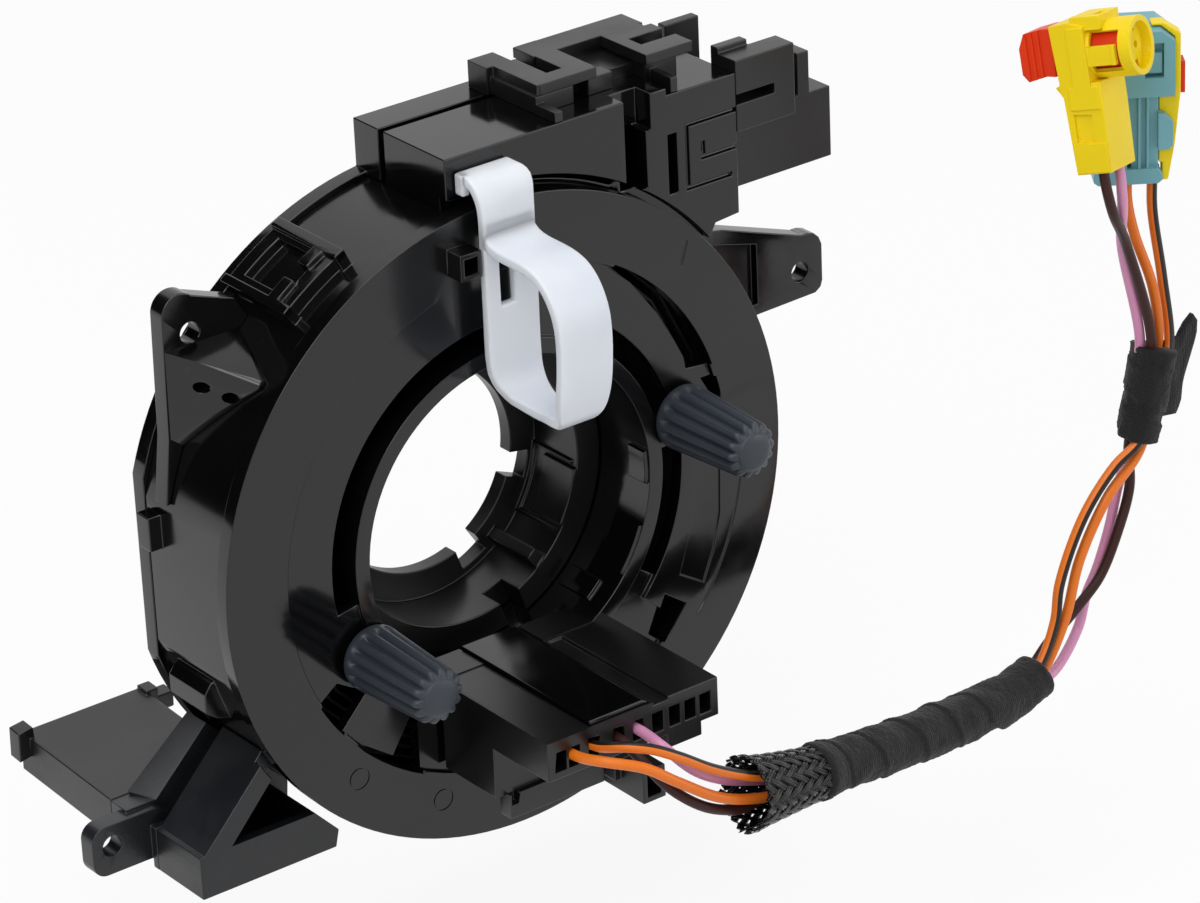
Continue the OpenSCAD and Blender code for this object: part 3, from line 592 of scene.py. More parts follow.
def smooth_route(points: Sequence[Point], step: float = 1.0) -> list[Vector]:
    """Evenly spaced points of a smooth curve through the given ones.

    Args:
        points: Points that the curve passes.
        step: Distance between the new points.

    Returns:
        The curve's points.
    """
    pts = [Vector(p) for p in points]
    pts = [pts[0] * 2 - pts[1], *pts, pts[-1] * 2 - pts[-2]]
    dense: list[Vector] = []
    for a, b, c, d in zip(pts, pts[1:], pts[2:], pts[3:]):
        t0, t1 = 0.0, (b - a).length ** 0.5
        t2 = t1 + (c - b).length ** 0.5
        t3 = t2 + (d - c).length ** 0.5
        for k in range(24):
            t = t1 + (t2 - t1) * k / 24
            ab = a.lerp(b, (t - t0) / (t1 - t0))
            bc = b.lerp(c, (t - t1) / (t2 - t1))
            cd = c.lerp(d, (t - t2) / (t3 - t2))
            early = ab.lerp(bc, (t - t0) / (t2 - t0))
            late = bc.lerp(cd, (t - t1) / (t3 - t1))
            dense.append(early.lerp(late, (t - t1) / (t2 - t1)))
    dense.append(pts[-2])
    steps = [(b - a).length for a, b in zip(dense, dense[1:])]
    total = sum(steps)
    count = max(2, round(total / step))
    out, gone, i = [dense[0]], 0.0, 0
    for k in range(1, count):
        goal = total * k / count
        while gone + steps[i] < goal:
            gone += steps[i]
            i += 1
        out.append(dense[i].lerp(dense[i + 1], (goal - gone) / steps[i]))
    return out + [dense[-1]]


def _beside(edge: Edge, spots: Sequence[Vector], reach: float) -> bool:
    """Whether an edge passes a listed spot more closely than the reach."""
    start, run = edge.verts[0].co, edge.verts[1].co - edge.verts[0].co
    for spot in spots:
        t = (spot - start).dot(run) / max(run.length_squared, 1e-18)
        if (start + run * max(0.0, min(1.0, t)) - spot).length < reach:
            return True
    return False


def _folds(bm: Mesh) -> list[Vector]:
    """Centres of the faces that cut through another face of the same mesh."""
    copy = bm.copy()
    bmesh.ops.triangulate(copy, faces=copy.faces)
    copy.faces.ensure_lookup_table()
    tree = BVHTree.FromBMesh(copy)
    spots = []
    for i, j in tree.overlap(tree):
        pair = copy.faces[i], copy.faces[j]
        small = min(pair, key=lambda f: f.calc_area())
        if i < j and not set(pair[0].verts) & set(pair[1].verts) and small.calc_area() > 1e-12:
            spots.append(small.calc_center_median())
    copy.free()
    return spots


def link(name: str, data: bpy.types.ID) -> Object:
    """Makes the object that shows some data, and links it to the scene."""
    obj = bpy.data.objects.new(name, data)
    bpy.context.scene.collection.objects.link(obj)
    return obj


def show(bm: Mesh, name: str, material: Material) -> Object:
    """Turns a finished bmesh into an object of the scene.

    Args:
        bm: The mesh, in metres in the shared frame. It is freed.
        name: Name of the object.
        material: Its only material.

    Returns:
        The object.
    """
    mesh = bpy.data.meshes.new(name)
    bm.to_mesh(mesh)
    bm.free()
    mesh.materials.append(material)
    return link(name, mesh)


@dataclass(frozen=True)
class Moulding:
    """A moulded CAD node that gets rounded edges.

    Attributes:
        node: Name of the node.
        finish: Name of its finish.
        body: The body that it rides on.
        width: Size of its edge rounding, in millimetres.
        extra: Corners of small blocks that only the rounded copy has.
        shifts: Low corner and high corner of a space, and how far its vertices move.
    """

    node: str
    finish: str = "black_gloss"
    body: Body = Body.STATOR
    width: float = 0.22
    extra: tuple[Box, ...] = ()
    shifts: tuple[Shift, ...] = ()


class Kit:
    """The workshop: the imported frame, the finishes, and what every piece needs at its end."""

    SHARP: float = 28.0
    CRISP: float = 50.0
    MERGE: float = 2e-6
    SLIVER: float = 1e-5

    def __init__(self) -> None:
        """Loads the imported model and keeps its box."""
        self.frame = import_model()
        self.cad_box = [list(v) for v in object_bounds()]
        self.palette = Palette()

    def place(self, bm: Mesh, node: str, finish: str, body: Body, flat: bool) -> Object:
        """Turns a finished bmesh into the piece that stands for a CAD node.

        Args:
            bm: The mesh, in metres in the shared frame.
            node: Name of the CAD node.
            finish: Name of its finish.
            body: The body that it rides on.
            flat: Whether flat faces keep flat shading beside rounded edges.

        Returns:
            The piece.
        """
        obj = show(bm, f"{node}_piece", self.palette.get(finish))
        obj.data.shade_smooth()
        if flat:
            weighted = obj.modifiers.new("even_shading", "WEIGHTED_NORMAL")
            weighted.keep_sharp = True
            weighted.weight = 100
        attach(obj, body.value)
        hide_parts(node)
        LOG.info("%s: %d faces on %s", obj.name, len(obj.data.polygons), body.value)
        return obj

    def refine(self, part: Moulding) -> Object:
        """Makes the rounded copy of a moulding, in place of its CAD node.

        Where the rounding would fold over a narrow step, the edges there stay crisp.

        Args:
            part: The moulding.

        Returns:
            The piece.
        """
        plain = self._plain_copy(part)
        tight: list[Vector] = []
        for _ in range(8):
            bm = plain.copy()
            edges = [e for e in sharp_edges(bm, self.SHARP) if not _beside(e, tight, 1.6 * part.width * MM)]
            round_off(bm, edges, part.width * MM)
            found = _folds(bm)
            if not found:
                break
            tight += found
        plain.free()
        bmesh.ops.triangulate(bm, faces=[f for f in bm.faces if len(f.verts) > 4])
        for edge in bm.edges:
            edge.smooth = edge.calc_face_angle(0) < math.radians(self.CRISP)
        for low, high in part.extra:
            add_block(bm, at(*low), at(*high), part.width * MM)
        return self.place(bm, part.node, part.finish, part.body, flat=True)

    def _plain_copy(self, part: Moulding) -> Mesh:
        """A moulding's CAD mesh with whole flat faces, and with some spaces moved."""
        plain = bmesh.new()
        plain.from_mesh(self.frame["nodes"][part.node].data)
        bmesh.ops.remove_doubles(plain, verts=plain.verts, dist=self.MERGE)
        bmesh.ops.dissolve_limit(plain, angle_limit=math.radians(0.5), verts=plain.verts, edges=plain.edges)
        bmesh.ops.dissolve_degenerate(plain, edges=plain.edges, dist=self.SLIVER)
        for low, high, way in part.shifts:
            a, b = at(*low), at(*high)
            moved = [v for v in plain.verts if all(a[i] <= v.co[i] <= b[i] for i in range(3))]
            bmesh.ops.translate(plain, verts=moved, vec=Vector(way) * MM)
        return plain

    def dress(self, node: str, finish: str) -> None:
        """Gives a carried-over CAD node a finish."""
        obj = self.frame["nodes"][node]
        obj.data.materials.clear()
        obj.data.materials.append(self.palette.get(finish))


# Sub-assemblies


MOULDINGS: tuple[Moulding, ...] = (
    Moulding("drum_housing"),
    Moulding("top_box"),
    Moulding("upper_left_ear"),
    Moulding("right_ear"),
    Moulding("lower_bracket", "black_brushed_painted_light"),
    Moulding("tray_mount", "black_brushed_painted_light", width=0.14),
    Moulding("back_cover"),
    Moulding("top_latch_cover", "black_satin", width=0.14, extra=(((19, 12, 64.1), (38, 24.6, 66.4)),)),
    Moulding("side_connector_shell", "black_satin"),
    Moulding("lower_connector_shell", "black_satin", shifts=(
        ((-69.5, 46, -43), (-68.5, 53, -33), (0.9, 0, -0.4)),
        ((-69.5, 46.5, -43), (-64.9, 48.4, -33), (0, 1.3, 0)),
        ((-43.4, 48, -35.6), (-40.4, 52.5, -33), (0, 0, -0.8)))),
    Moulding("rotor_face", "black_gloss", Body.ROTOR, 0.16, shifts=(
        ((-10.1, -5.1, 42.4), (-5.7, 1.6, 44), (0, 0, 3.6)),)),
    Moulding("hub_ring", "black_satin", Body.ROTOR),
    Moulding("front_connector_block", "black_satin", Body.ROTOR),
    Moulding("connector_cover", "black_gloss", Body.ROTOR),
)
PLUGS: dict[str, tuple[Moulding, ...]] = {
    "yellow": (Moulding("yellow_plug_body", "plug_yellow", Body.ROTOR, 0.09),
               Moulding("yellow_plug_lock", "lock_red", Body.YELLOW_LOCK, 0.12)),
    "teal": (Moulding("teal_plug_body", "plug_teal", Body.ROTOR, 0.09),
             Moulding("teal_plug_lock", "lock_red", Body.TEAL_LOCK, 0.12),
             Moulding("teal_plug_retainer", "plug_yellow", Body.ROTOR, 0.2)),
}
PLUGGED: dict[str, str] = {
    "wire_orange": "teal", "wire_striped": "teal", "wire_pink": "yellow", "wire_brown": "yellow"}
DRESSED: dict[str, str] = {
    "side_connector_pins": "terminal_metal", "lower_connector_pins": "terminal_metal",
    "block_terminals": "terminal_metal", "flat_cable": "ribbon_film"}


@dataclass
class PinCap:
    """A ribbed rubber cap over one of the rotor's posts.

    The depths of its rings count from the base in `foot` and from the top in `crown`, where the dome and
    the shoulder under it need them close together.
    """

    name: str
    centre: Span
    length: float = 20.0
    base: float = 5.7
    tip: float = 4.75
    ribs: int = 14
    groove: float = 1.15
    crest: float = 0.75
    ribs_from: float = 1.4
    ribs_grow: float = 0.9
    taper_from: float = 1.6
    lip: float = 0.65
    lip_depth: float = 0.45
    dome_height: float = 0.8
    dome_depth: float = 0.82
    dome_radius: float = 3.3
    shoulder_height: float = 2.0
    shoulder_depth: float = 1.2
    shoulder_radius: float = 3.25
    tip_radius: float = 0.6
    foot: tuple[float, ...] = (0.0, 0.3, 0.7, 1.3, 1.6, 1.9, 2.3, 2.9)
    crown: tuple[float, ...] = (1.9, 1.6, 1.3, 1.05, 0.85, 0.78, 0.7, 0.6, 0.45, 0.25, 0.1, 0.0)

    def build(self, kit: Kit) -> None:
        """Builds the cap ring by ring, from its base to its domed tip."""
        shape = Shape()
        shaft = [self.foot[-1] + (self.length - 5.1) * k / 16 for k in range(1, 17)]
        depths = [*self.foot, *shaft, *(self.length - left for left in self.crown)]
        x, z = self.centre
        shape.tube([Vector((x, -d, z)) for d in depths], self._radius, 12 * self.ribs)
        shape.piece(kit, self.name, "cap_rubber")

    def _radius(self, along: float, angle: float) -> float:
        """Radius of the cap at a distance from its base."""
        left = max(0.0, self.length - along)
        if left < self.dome_height:
            drop = (self.dome_height - left) / self.dome_depth
            return max(self.tip_radius, self.dome_radius * math.sqrt(max(0.0, 1 - drop ** 2)) ** 0.8)
        body = self.base + (self.tip - self.base) * max(0.0, along - self.taper_from) / (
            self.length - self.taper_from)
        if along < self.lip:
            body -= self.lip_depth * (1 - along / self.lip) ** 2
        into = min(1.0, max(0.0, (along - self.ribs_from) / self.ribs_grow))
        crest = abs(math.cos(self.ribs * angle / 2)) ** self.crest
        ribbed = body - self.groove * into * (1 - crest)
        if left > self.shoulder_height:
            return ribbed
        bend = 1 - math.sqrt(max(0.0, 1 - ((self.shoulder_height - left) / self.shoulder_depth) ** 2))
        return ribbed - (ribbed - self.shoulder_radius) * bend


ROUTES: dict[str, list[Point]] = {
    "wire_orange": [
        (-11, -26, -28), (-11, -31, -27.5), (-9.5, -35.5, -27), (-4.5, -39, -28.5), (1, -40.5, -32.5),
        (9, -41.2, -38), (17, -41.3, -41), (26, -41.3, -42.5), (35, -40.1, -43.6), (53, -39, -45.5),
        (71, -38, -46), (80.8, -36.7, -44.4), (88, -36, -35.5), (91.5, -36, -25), (97.1, -36.6, -15.1),
        (106, -35.6, -8.3), (108.6, -34.6, 2.7), (110.3, -35, 10), (109, -35, 20), (107.9, -31.6, 29),
        (108.4, -29.3, 34.2), (108.5, -29.1, 39)],
    "wire_striped": [
        (-7, -26, -28), (-7, -31, -27), (-5.5, -36, -25.5), (-2.5, -38.5, -26), (2, -40, -28.5),
        (8, -41, -32.5), (17, -41.3, -37), (26, -41, -39.5), (35, -40.1, -41.4), (53, -39, -43.2),
        (71, -38, -43.8), (80.4, -37.2, -41.9), (85.6, -36.2, -35), (87, -36, -28), (92.5, -36, -17),
        (99.5, -36, -10), (104.2, -36.9, -6.4), (109.1, -37.4, 3.2), (112.4, -35.5, 9), (113, -33, 20),
        (112.8, -30.7, 32), (112.8, -30.7, 39)],
    "wire_pink": [
        (2.1, -26, -28), (2.1, -31, -28), (2, -36, -28.5), (5.6, -38.5, -32.7), (11, -38.8, -36.3),
        (19, -37.5, -40), (26, -36.6, -42.5), (35, -37.6, -43.9), (53, -36.8, -45.5), (71, -35.8, -46.1),
        (79.9, -35.3, -45.7), (88, -33.4, -46), (94.8, -32, -40.5), (96.6, -32, -35), (99.1, -32, -30.7),
        (102.1, -31.8, -24), (105.3, -31, -16.1), (107.3, -32.9, -8.6), (106.6, -33.1, 2.5),
        (106.7, -34.4, 10.5), (101.6, -35.4, 30), (97.7, -39.8, 39.6), (96.8, -40.3, 44.8),
        (96.87, -39.44, 48.2)],
    "wire_brown": [
        (-1.9, -26, -28), (-1.9, -31, -28.5), (-1.6, -35.5, -30.5), (1, -38, -34.5), (6, -39.3, -39),
        (11, -39.3, -41.8), (15.5, -39.3, -43), (26, -38.8, -41), (35, -37.9, -41.4), (53, -36.8, -43.2),
        (71, -35.8, -43.9), (80, -34.7, -43.6), (86.1, -34.4, -39.1), (93, -34, -35), (98, -34, -31),
        (102, -34, -24), (105.4, -33.3, -16.8), (104.8, -33.8, -8), (105.3, -36.6, 3.2), (107.6, -36.3, 10),
        (100.6, -37.6, 31), (94.8, -40.6, 39.4), (93.2, -40.6, 44.9), (93.29, -39.69, 48.4)],
}


@dataclass
class Wire:
    """One insulated wire, from its cell in the block to its plug."""

    name: str
    radius: float = 0.9
    sides: int = 16

    def build(self, kit: Kit, taken: list[Object]) -> None:
        """Args:
            kit: The workshop.
            taken: Not used.
        """
        route = smooth_route(ROUTES[self.name], 1.0)
        shape = Shape()
        shape.tube(route, lambda along, angle: self.radius, self.sides)
        shape.piece(kit, self.name, self.name)


@dataclass
class Sleeve:
    """The braided sleeve: flat strands woven over and under each other, frayed at the mouth."""

    route: tuple[Point, ...] = ((14.6, -40, -40), (15.8, -40, -40.2), (22, -39.8, -41), (29, -39.2, -42),
                                (32.5, -39, -42.4))
    mouth: float = 6.3
    tail: float = 4.4
    strands: int = 20
    turns: float = 0.36
    lift: float = 0.22
    thick: float = 0.15
    spacing: float = 0.78
    half_width: float = 0.40
    frays: int = 10
    fray_radius: float = 0.09

    def build(self, kit: Kit) -> Object:
        """Weaves the strands."""
        rng = random.Random(7)
        line = smooth_route(self.route, 0.3)
        frames = list(parallel_frames(line))
        shape = Shape()
        for way in (1, -1):
            for s in range(self.strands):
                self._strand(shape, frames, s, way, rng)
        for _ in range(self.frays):
            centre, side, up = frames[0]
            ahead = (frames[1][0] - centre).normalized()
            angle = rng.uniform(0, 2 * math.pi)
            out = side * math.cos(angle) + up * math.sin(angle)
            base = centre + out * self.mouth + ahead
            tip = base - ahead * rng.uniform(1.2, 1.9) + out * rng.uniform(-0.2, 0.4)
            tip += side * rng.uniform(-0.4, 0.4)
            shape.tube([base, (base + tip) / 2 + out * 0.1, tip], lambda along, angle: self.fray_radius, 5)
        LOG.info("sleeve length %.1f mm", span_length(line))
        return shape.piece(kit, "braided_sleeve", "braid_black", outward=False)

    def _strand(self, shape: Shape, frames: Frames, index: int, way: int, rng: random.Random) -> None:
        """Adds one flat strand, over two and under two of the crossing ones."""
        path, outs, reach = [], [], []
        for i, (centre, side, up) in enumerate(frames):
            t = i / (len(frames) - 1)
            angle = 2 * math.pi * (index / self.strands + way * self.turns * t)
            crossed = 2 * self.turns * t * self.strands
            lift = self.lift * way * math.cos(math.pi / 2 * (2 * index + way * crossed) - math.pi / 4)
            r = self.mouth + (self.tail - self.mouth) * min(1.0, t * 1.2) ** 0.7
            out = side * math.cos(angle) + up * math.sin(angle)
            path.append(centre + out * (r + lift))
            outs.append(out)
            reach.append(2 * math.pi * r / self.strands * self.spacing)
        trim = rng.randrange(0, 3)
        rings = []
        for i in range(trim, len(path)):
            ahead = (path[min(i + 1, len(path) - 1)] - path[max(i - 1, 0)]).normalized()
            across = ahead.cross(outs[i]).normalized()
            half = reach[i] * (self.half_width + 0.05 * min(1.0, i / 20))
            rings.append([path[i] + across * (half * math.cos(a)) + outs[i] * (self.thick * math.sin(a))
                          for a in (2 * math.pi * k / 8 for k in range(8))])
        shape.loft(rings)


def fuzz(along: float, angle: float, rate: float, spread: float, lift: float = 0.0) -> float:
    """Noise over the skin of a tube, at a rate along it and a spread around it."""
    return noise.noise(Vector((along * rate, math.cos(angle) * spread, math.sin(angle) * spread + lift)))


@dataclass
class TapeWrap:
    """Cloth tape wound along the wires in overlapping turns."""

    route: tuple[Point, ...] = ((29.9, -39.1, -42.1), (34.9, -38.9, -42.5), (44.9, -38.4, -43.6),
                                (53.9, -37.9, -44.4), (62.9, -37.4, -44.8), (71.9, -36.9, -44.9),
                                (77.9, -36.4, -44.4), (81.9, -36, -43.2))
    radius: float = 4.3
    laps: tuple[float, ...] = (-9, -1.5, 4.5, 12, 21.5, 29.5, 36.5, 62, 90)
    step: float = 0.5
    creases: float = 0.42
    fuzz: float = 0.12

    def build(self, kit: Kit) -> Object:
        """Builds the wound tape."""
        shape = Shape()
        line = smooth_route(self.route, 0.3)
        total = span_length(line)
        shape.tube(line, lambda along, angle: self._radius(along, angle, total), 72)
        return shape.piece(kit, "tape_wrap_main", "tape_black")

    def _radius(self, along: float, angle: float, total: float) -> float:
        """Radius of the winding at one point."""
        sway = 0.8 * noise.noise(Vector((along * 0.12, math.cos(angle) * 0.6, 3.0)))
        around = angle / (2 * math.pi)
        edges = [a + (b - a) * around + sway for a, b in zip(self.laps, self.laps[1:])]
        since = min(along - e for e in edges if e <= along)
        lap = self.step * (min(1.0, since / 0.5) - min(1.0, since / 9))
        crease = self.creases * fuzz(along, angle, 0.3, 1.3)
        fine = self.fuzz * fuzz(along, angle, 1.6, 6, 4)
        end = min(1.0, along / 0.8, (total - along) / 0.8)
        over = 0.75 * max(0.0, 1 - along / 6)
        return (self.radius + lap + crease + fine + over - 0.25) * (0.86 + 0.14 * math.sqrt(max(0.0, end)))


@dataclass
class TapeFlag:
    """The short wrap near the plugs, whose stuck ends stand out as a flag."""

    route: tuple[Point, ...] = ((105.6, -35, -6.6), (107.4, -35.4, 2.6), (109.2, -35.2, 9))
    flag: tuple[Span, ...] = ((108.4, 9.4), (112.4, 9.2), (115, 9), (116.6, 11), (118.4, 12.2), (119.6, 10.6),
                              (119.4, 8.6), (118, 4.6), (116.6, 1), (115.4, -2.6), (114, -4.8), (111.4, -4.6),
                              (108.4, -4.2))

    def build(self, kit: Kit) -> Object:
        """Builds the wrap and its flag."""
        shape = Shape()
        line = smooth_route(self.route, 0.4)
        total = span_length(line)

        def radius(along: float, angle: float) -> Span:
            """Half width and half depth of the wrap."""
            bump = 0.35 * fuzz(along, angle, 0.3, 2, 9)
            fine = 0.1 * fuzz(along, angle, 1.5, 7)
            t = along / total
            lap = 0.3 if 0.3 < (t * 2.2 + angle / 6.283) % 1.0 else 0.0
            return (3.5 + 0.9 * t + bump + fine + lap, 3.3 - 0.2 * t + bump + fine + lap)

        self._add_flag(shape)
        shape.tube(line, radius, 64)
        return shape.piece(kit, "tape_wrap_end", "tape_black")

    def _add_flag(self, shape: Shape) -> None:
        """Starts a mesh with the two stuck ends of the tape: one thin, slightly bent sheet."""
        bm = shape.bm
        sheet = bm.faces.new([bm.verts.new((x, 0.0, z)) for x, z in self.flag])
        bmesh.ops.triangulate(bm, faces=[sheet])
        bmesh.ops.subdivide_edges(bm, edges=bm.edges, cuts=3, use_grid_fill=True)
        for v in bm.verts:
            ripple = 0.5 * noise.noise(Vector((v.co.x * 0.25, 1.7, v.co.z * 0.22)))
            v.co.y = -35.6 + 0.06 * (v.co.x - 108) + ripple
        bmesh.ops.recalc_face_normals(bm, faces=bm.faces)
        bmesh.ops.solidify(bm, geom=bm.faces[:], thickness=0.75)
        for loop in (loop for face in bm.faces for loop in face.loops):
            loop[shape.uv].uv = (loop.vert.co.z, loop.vert.co.x / 25)


def build_plug(kit: Kit, parts: Sequence[Moulding]) -> list[Object]:
    """Builds the pieces of a plug and gives back those that stay on the wires."""
    made = [(part.body, kit.refine(part)) for part in parts]
    return [piece for body, piece in made if body is Body.ROTOR]


def build_harness(kit: Kit) -> None:
    """Builds the pigtail: the plugs, the sleeve and the tape, and the four wires.

    Args:
        kit: The workshop.
    """
    plugs = {colour: build_plug(kit, parts) for colour, parts in PLUGS.items()}
    wraps = [Sleeve().build(kit), TapeWrap().build(kit), TapeFlag().build(kit)]
    for name, colour in PLUGGED.items():
        Wire(name).build(kit, plugs[colour] + wraps)
        wraps = []


@dataclass
class LockClip:
    """The white band that holds the rotor centred: a loop, a neck and a hooked head in one sweep."""

    left: float = -5.4
    right: float = 4.8
    thick: float = 1.8
    edge: float = 0.42
    tuck: float = 0.46
    loop: tuple[Span, ...] = ((-2.98, 54.8), (-3, 53.4), (-3.35, 52), (-4.3, 51.1), (-5.9, 50.6), (-8, 50.4),
                              (-11, 50.35), (-14.2, 50.15), (-17, 49.4), (-19.2, 47.9), (-20.9, 45.6),
                              (-21.9, 43.1), (-22.3, 40), (-22.25, 36.5), (-21.95, 33), (-21.2, 29.4),
                              (-19.6, 26.1), (-17, 23.7), (-13.6, 22.45), (-10, 22.25), (-6.9, 23),
                              (-4.6, 24.8), (-3.35, 27.5), (-3.05, 31), (-3.05, 40.2))
    soft_neck: tuple[Span, ...] = ((-3.05, 50), (-3.05, 55.4), (-2.75, 57.4), (-1.95, 59), (-0.8, 60.2),
                                   (0.5, 60.75), (3.1, 60.85))
    crisp_neck: tuple[Span, ...] = ((-3.05, 50), (-3.05, 57.4), (-3, 59.3), (-2.6, 60.4), (-1.7, 60.8),
                                    (0.5, 60.85), (3.1, 60.85))
    corner: tuple[Span, ...] = ((21.2, 1.6), (22.3, -1.0), (24, -3.0), (26.2, -4.4), (28.6, -5.15),
                               (31, -5.4))
    window: Span = (-2.6, 0.2)

    def build(self, kit: Kit) -> None:
        """Sweeps the band, opens the window in its back leg and rounds its edges."""
        shape = Shape()
        below = smooth_route([(0, y, z) for y, z in self.loop], 0.9)
        soft = smooth_route([(0, y, z) for y, z in self.soft_neck], 0.1)
        crisp = smooth_route([(0, y, z) for y, z in self.crisp_neck], 0.1)
        above = [tuple(line[round(k * (len(line) - 1) / 22)] for line in (soft, crisp)) for k in range(23)]
        rows = shape.loft(self._rings([(p, p) for p in below] + above))
        low, high = rows[len(below) - 1], rows[len(below)]
        self._open_window(shape.bm, low, high)
        bmesh.ops.recalc_face_normals(shape.bm, faces=shape.bm.faces)
        round_off(shape.bm, sharp_edges(shape.bm, 55.0), self.edge, 3)
        add_block(shape.bm, Vector((self.left - 0.3, 0.9, 58.1)), Vector((self.left + 1.2, 3.1, 61.7)), 0.4)
        shape.piece(kit, "lock_clip", "clip_white", Body.CLIP, flat=True)

    def _rings(self, lines: Sequence[tuple[Vector, Vector]]) -> list[list[Vector]]:
        """Outlines of the band across its middle lines, with columns where the window's sides are.

        Args:
            lines: The middle line's point at the left edge and at the right edge, ring by ring.

        Returns:
            The points of each ring.
        """
        columns = [(x - self.left) / (self.right - self.left) for x in (self.left, *self.window, self.right)]
        rings = []
        for i, ends in enumerate(lines):
            near = (lines[max(i - 1, 0)], ends, lines[min(i + 1, len(lines) - 1)])
            tuck = max(0.0, self.tuck - 0.11 * i)
            front, back = [], []
            for f in columns:
                before, here, after = (a.lerp(b, f) for a, b in near)
                ahead = (after - before).normalized()
                out = Vector((0, -ahead.z, ahead.y)) * (self.thick / 2)
                start = self._left_edge(here.z) + tuck
                spot = Vector((start + f * (self.right - tuck - start), 0, 0)) + here
                front.append(spot + out)
                back.append(spot - out)
            rings.append(front + back[::-1])
        return rings

    def _left_edge(self, height: float) -> float:
        """Where the band's left edge is at a height, with the lower corner rounded off."""
        for (z0, x0), (z1, x1) in zip(self.corner, self.corner[1:]):
            if height < z1:
                return x0 + (x1 - x0) * max(0.0, (height - z0) / (z1 - z0))
        return self.left

    @staticmethod
    def _open_window(bm: Mesh, low: Verts, high: Verts) -> None:
        """Takes out the faces between two rows on both sides of the band and joins their rims."""
        rims = []
        for a, b in ((1, 2), (5, 6)):
            corners = {low[a], low[b], high[a], high[b]}
            face = next(f for f in bm.faces if set(f.verts) == corners)
            rims += list(face.edges)
            bmesh.ops.delete(bm, geom=[face], context="FACES_ONLY")
        bmesh.ops.bridge_loops(bm, edges=rims)


# Studio


@dataclass(frozen=True)
class Camera:
    """The photograph's camera in the shared frame."""

    place: Point = (-446.5, -657.8, 379.7)
    azimuth: float = -36.444
    elevation: float = 25.51
    roll: float = -2.577
    lens: float = 158.3

    def build(self) -> None:
        """Makes the scene's camera."""
        a, e, r = (math.radians(v) for v in (self.azimuth, self.elevation, self.roll))
        tilt = Matrix.Rotation(math.pi / 2 - e, 4, "X")
        turn = Matrix.Rotation(a, 4, "Z") @ tilt @ Matrix.Rotation(r, 4, "Z")
        data = bpy.data.cameras.new("camera")
        data.lens, data.sensor_width, data.sensor_fit = self.lens, 36.0, "HORIZONTAL"
        data.clip_start, data.clip_end = 0.01, 50.0
        camera = link("camera", data)
        camera.matrix_world = Matrix.Translation(Vector(self.place) * MM) @ turn
        bpy.context.scene.camera = camera


@dataclass(frozen=True)
class Softbox:
    """One large soft lamp, aimed at the object."""

    name: str
    place: Point
    size: Span
    power: float
    aim: Point = (10.0, -28.0, 0.0)

    def build(self) -> None:
        """Makes the lamp."""
        data = bpy.data.lights.new(self.name, "AREA")
        data.shape = "RECTANGLE"
        data.size, data.size_y = self.size
        data.energy = self.power
        lamp = link(self.name, data)
        spot = Vector(self.place) * MM
        lamp.location = spot
        lamp.rotation_euler = (Vector(self.aim) * MM - spot).to_track_quat("-Z", "Y").to_euler()


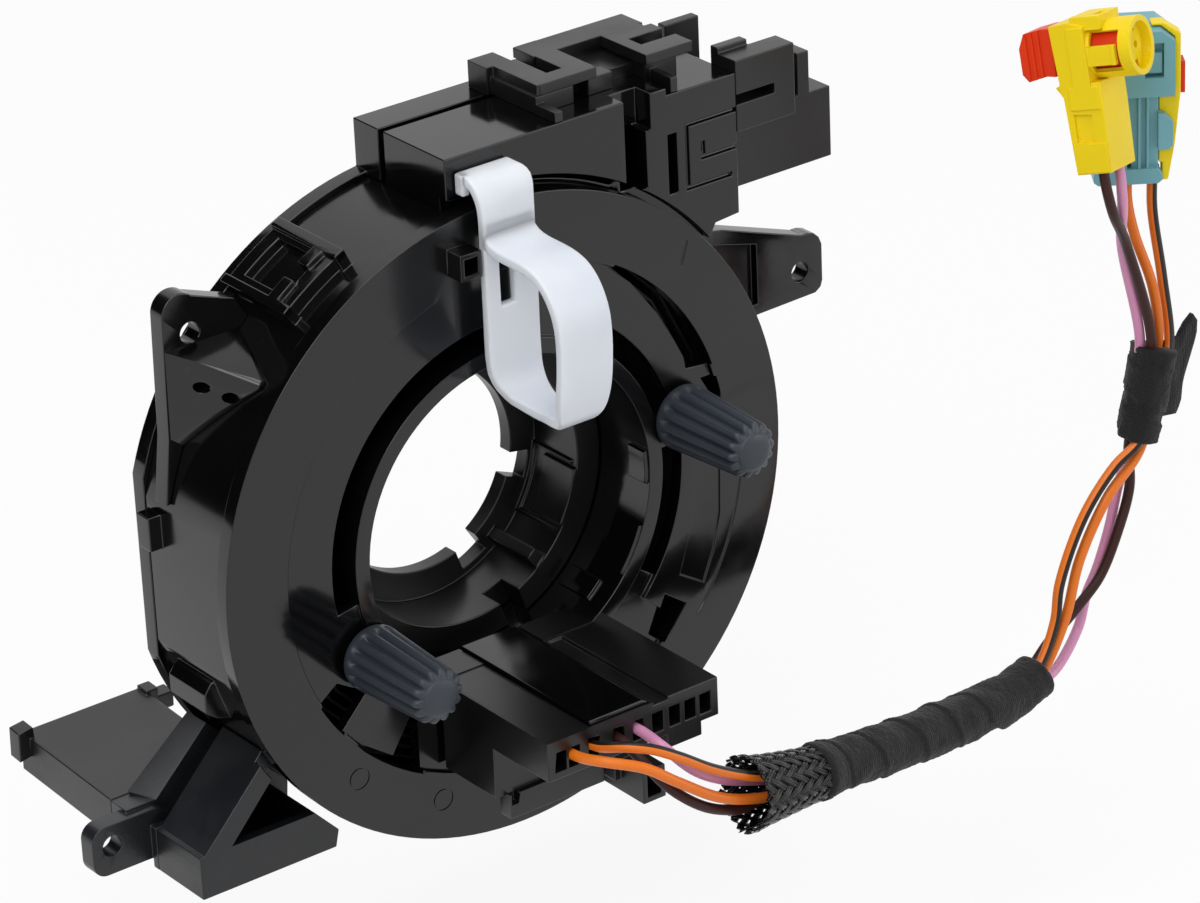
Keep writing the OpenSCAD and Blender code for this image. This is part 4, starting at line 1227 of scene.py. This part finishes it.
@dataclass(frozen=True)
class Studio:
    """Pale floor, white surroundings and soft lamps.

    The dark card stands behind the left and is seen only in gloss: it keeps the drum's side deep black.
    Its place is in metres, and so are the sizes.
    """

    floor_z: float = -78.0
    floor_size: float = 6.0
    floor_glow: float = 0.9
    card_size: float = 0.45
    card_way: Point = (-0.56, 0.75, 0.36)
    card_distance: float = 0.9
    daylight: float = 0.46
    lamps: tuple[Softbox, ...] = (
        Softbox("key", (-700, -500, 900), (0.7, 0.7), 5.6),
        Softbox("top", (-100, 150, 1200), (0.8, 0.8), 5.0),
        Softbox("fill", (700, -700, 300), (0.6, 0.6), 2.2),
    )

    def build(self) -> None:
        """Makes the floor, the card, the world and the lamps."""
        low = Matrix.Translation((0, 0, self.floor_z * MM))
        floor = self._sheet("floor", self.floor_size, low, self._floor_finish())
        floor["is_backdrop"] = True
        facing = Vector(self.card_way).normalized()
        turn = facing.to_track_quat("Z", "Y").to_matrix().to_4x4()
        place = Matrix.Translation(facing * self.card_distance) @ turn
        card = self._sheet("dark_card", self.card_size, place, self._matt("card_black", 0.01))
        card.visible_camera = card.visible_diffuse = card.visible_shadow = card.visible_transmission = False
        card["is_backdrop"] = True
        self._world()
        for lamp in self.lamps:
            lamp.build()

    @staticmethod
    def _sheet(name: str, size: float, place: Matrix, material: Material) -> Object:
        """A flat square of the stage.

        Args:
            name: Name of the object.
            size: Half of its side, in metres.
            place: Where it is and which way it faces.
            material: Its material.

        Returns:
            The object.
        """
        bm = bmesh.new()
        bmesh.ops.create_grid(bm, x_segments=1, y_segments=1, size=size)
        bmesh.ops.transform(bm, matrix=place, verts=bm.verts)
        return show(bm, name, material)

    @staticmethod
    def _matt(name: str, grey: float) -> Material:
        """A grey material without gloss."""
        material = bpy.data.materials.new(name)
        material.use_nodes = True
        shader = material.node_tree.nodes["Principled BSDF"]
        shader.inputs["Base Color"].default_value = (grey, grey, grey, 1)
        shader.inputs["Specular IOR Level"].default_value = 0.0
        return material

    def _floor_finish(self) -> Material:
        """White to the camera except where the object's shadow falls."""
        material = self._matt("floor_pale", 0.8)
        graph, nodes = Graph(material.node_tree), material.node_tree.nodes
        nodes["Principled BSDF"].inputs["Roughness"].default_value = 0.9
        glow = graph.add("Emission", {"Color": WHITE}).outputs[0]
        share = graph.times(graph.seen(), self.floor_glow)
        mix = graph.add("MixShader", {0: share, 1: nodes["Principled BSDF"].outputs[0], 2: glow})
        graph.feed(mix.outputs[0], nodes["Material Output"].inputs["Surface"])
        return material

    def _world(self) -> None:
        """White surroundings for the camera and for gloss, and a plain soft light."""
        world = bpy.data.worlds.new("surroundings")
        bpy.context.scene.world = world
        world.use_nodes = True
        world.node_tree.nodes.clear()
        graph = Graph(world.node_tree)
        soft, bright = (graph.add("Background", {"Color": WHITE, "Strength": strength}).outputs[0]
                        for strength in (self.daylight, 1.0))
        mix = graph.add("MixShader", {0: graph.seen(), 1: soft, 2: bright})
        graph.add("OutputWorld", {"Surface": mix.outputs[0]})


def main() -> None:
    """Builds the part, its studio and its camera."""
    logging.basicConfig(level=logging.INFO, format="%(name)s: %(message)s")
    kit = Kit()
    Camera().build()
    Studio().build()
    build_harness(kit)
    for part in MOULDINGS:
        kit.refine(part)
    for node, finish in DRESSED.items():
        kit.dress(node, finish)
    PinCap("pin_cap_upper", (35.4, 7.5)).build(kit)
    PinCap("pin_cap_lower", (-29.4, -14.8)).build(kit)
    LockClip().build(kit)
    bpy.context.scene.view_settings.view_transform = "Standard"


if __name__ == "__main__":
    main()
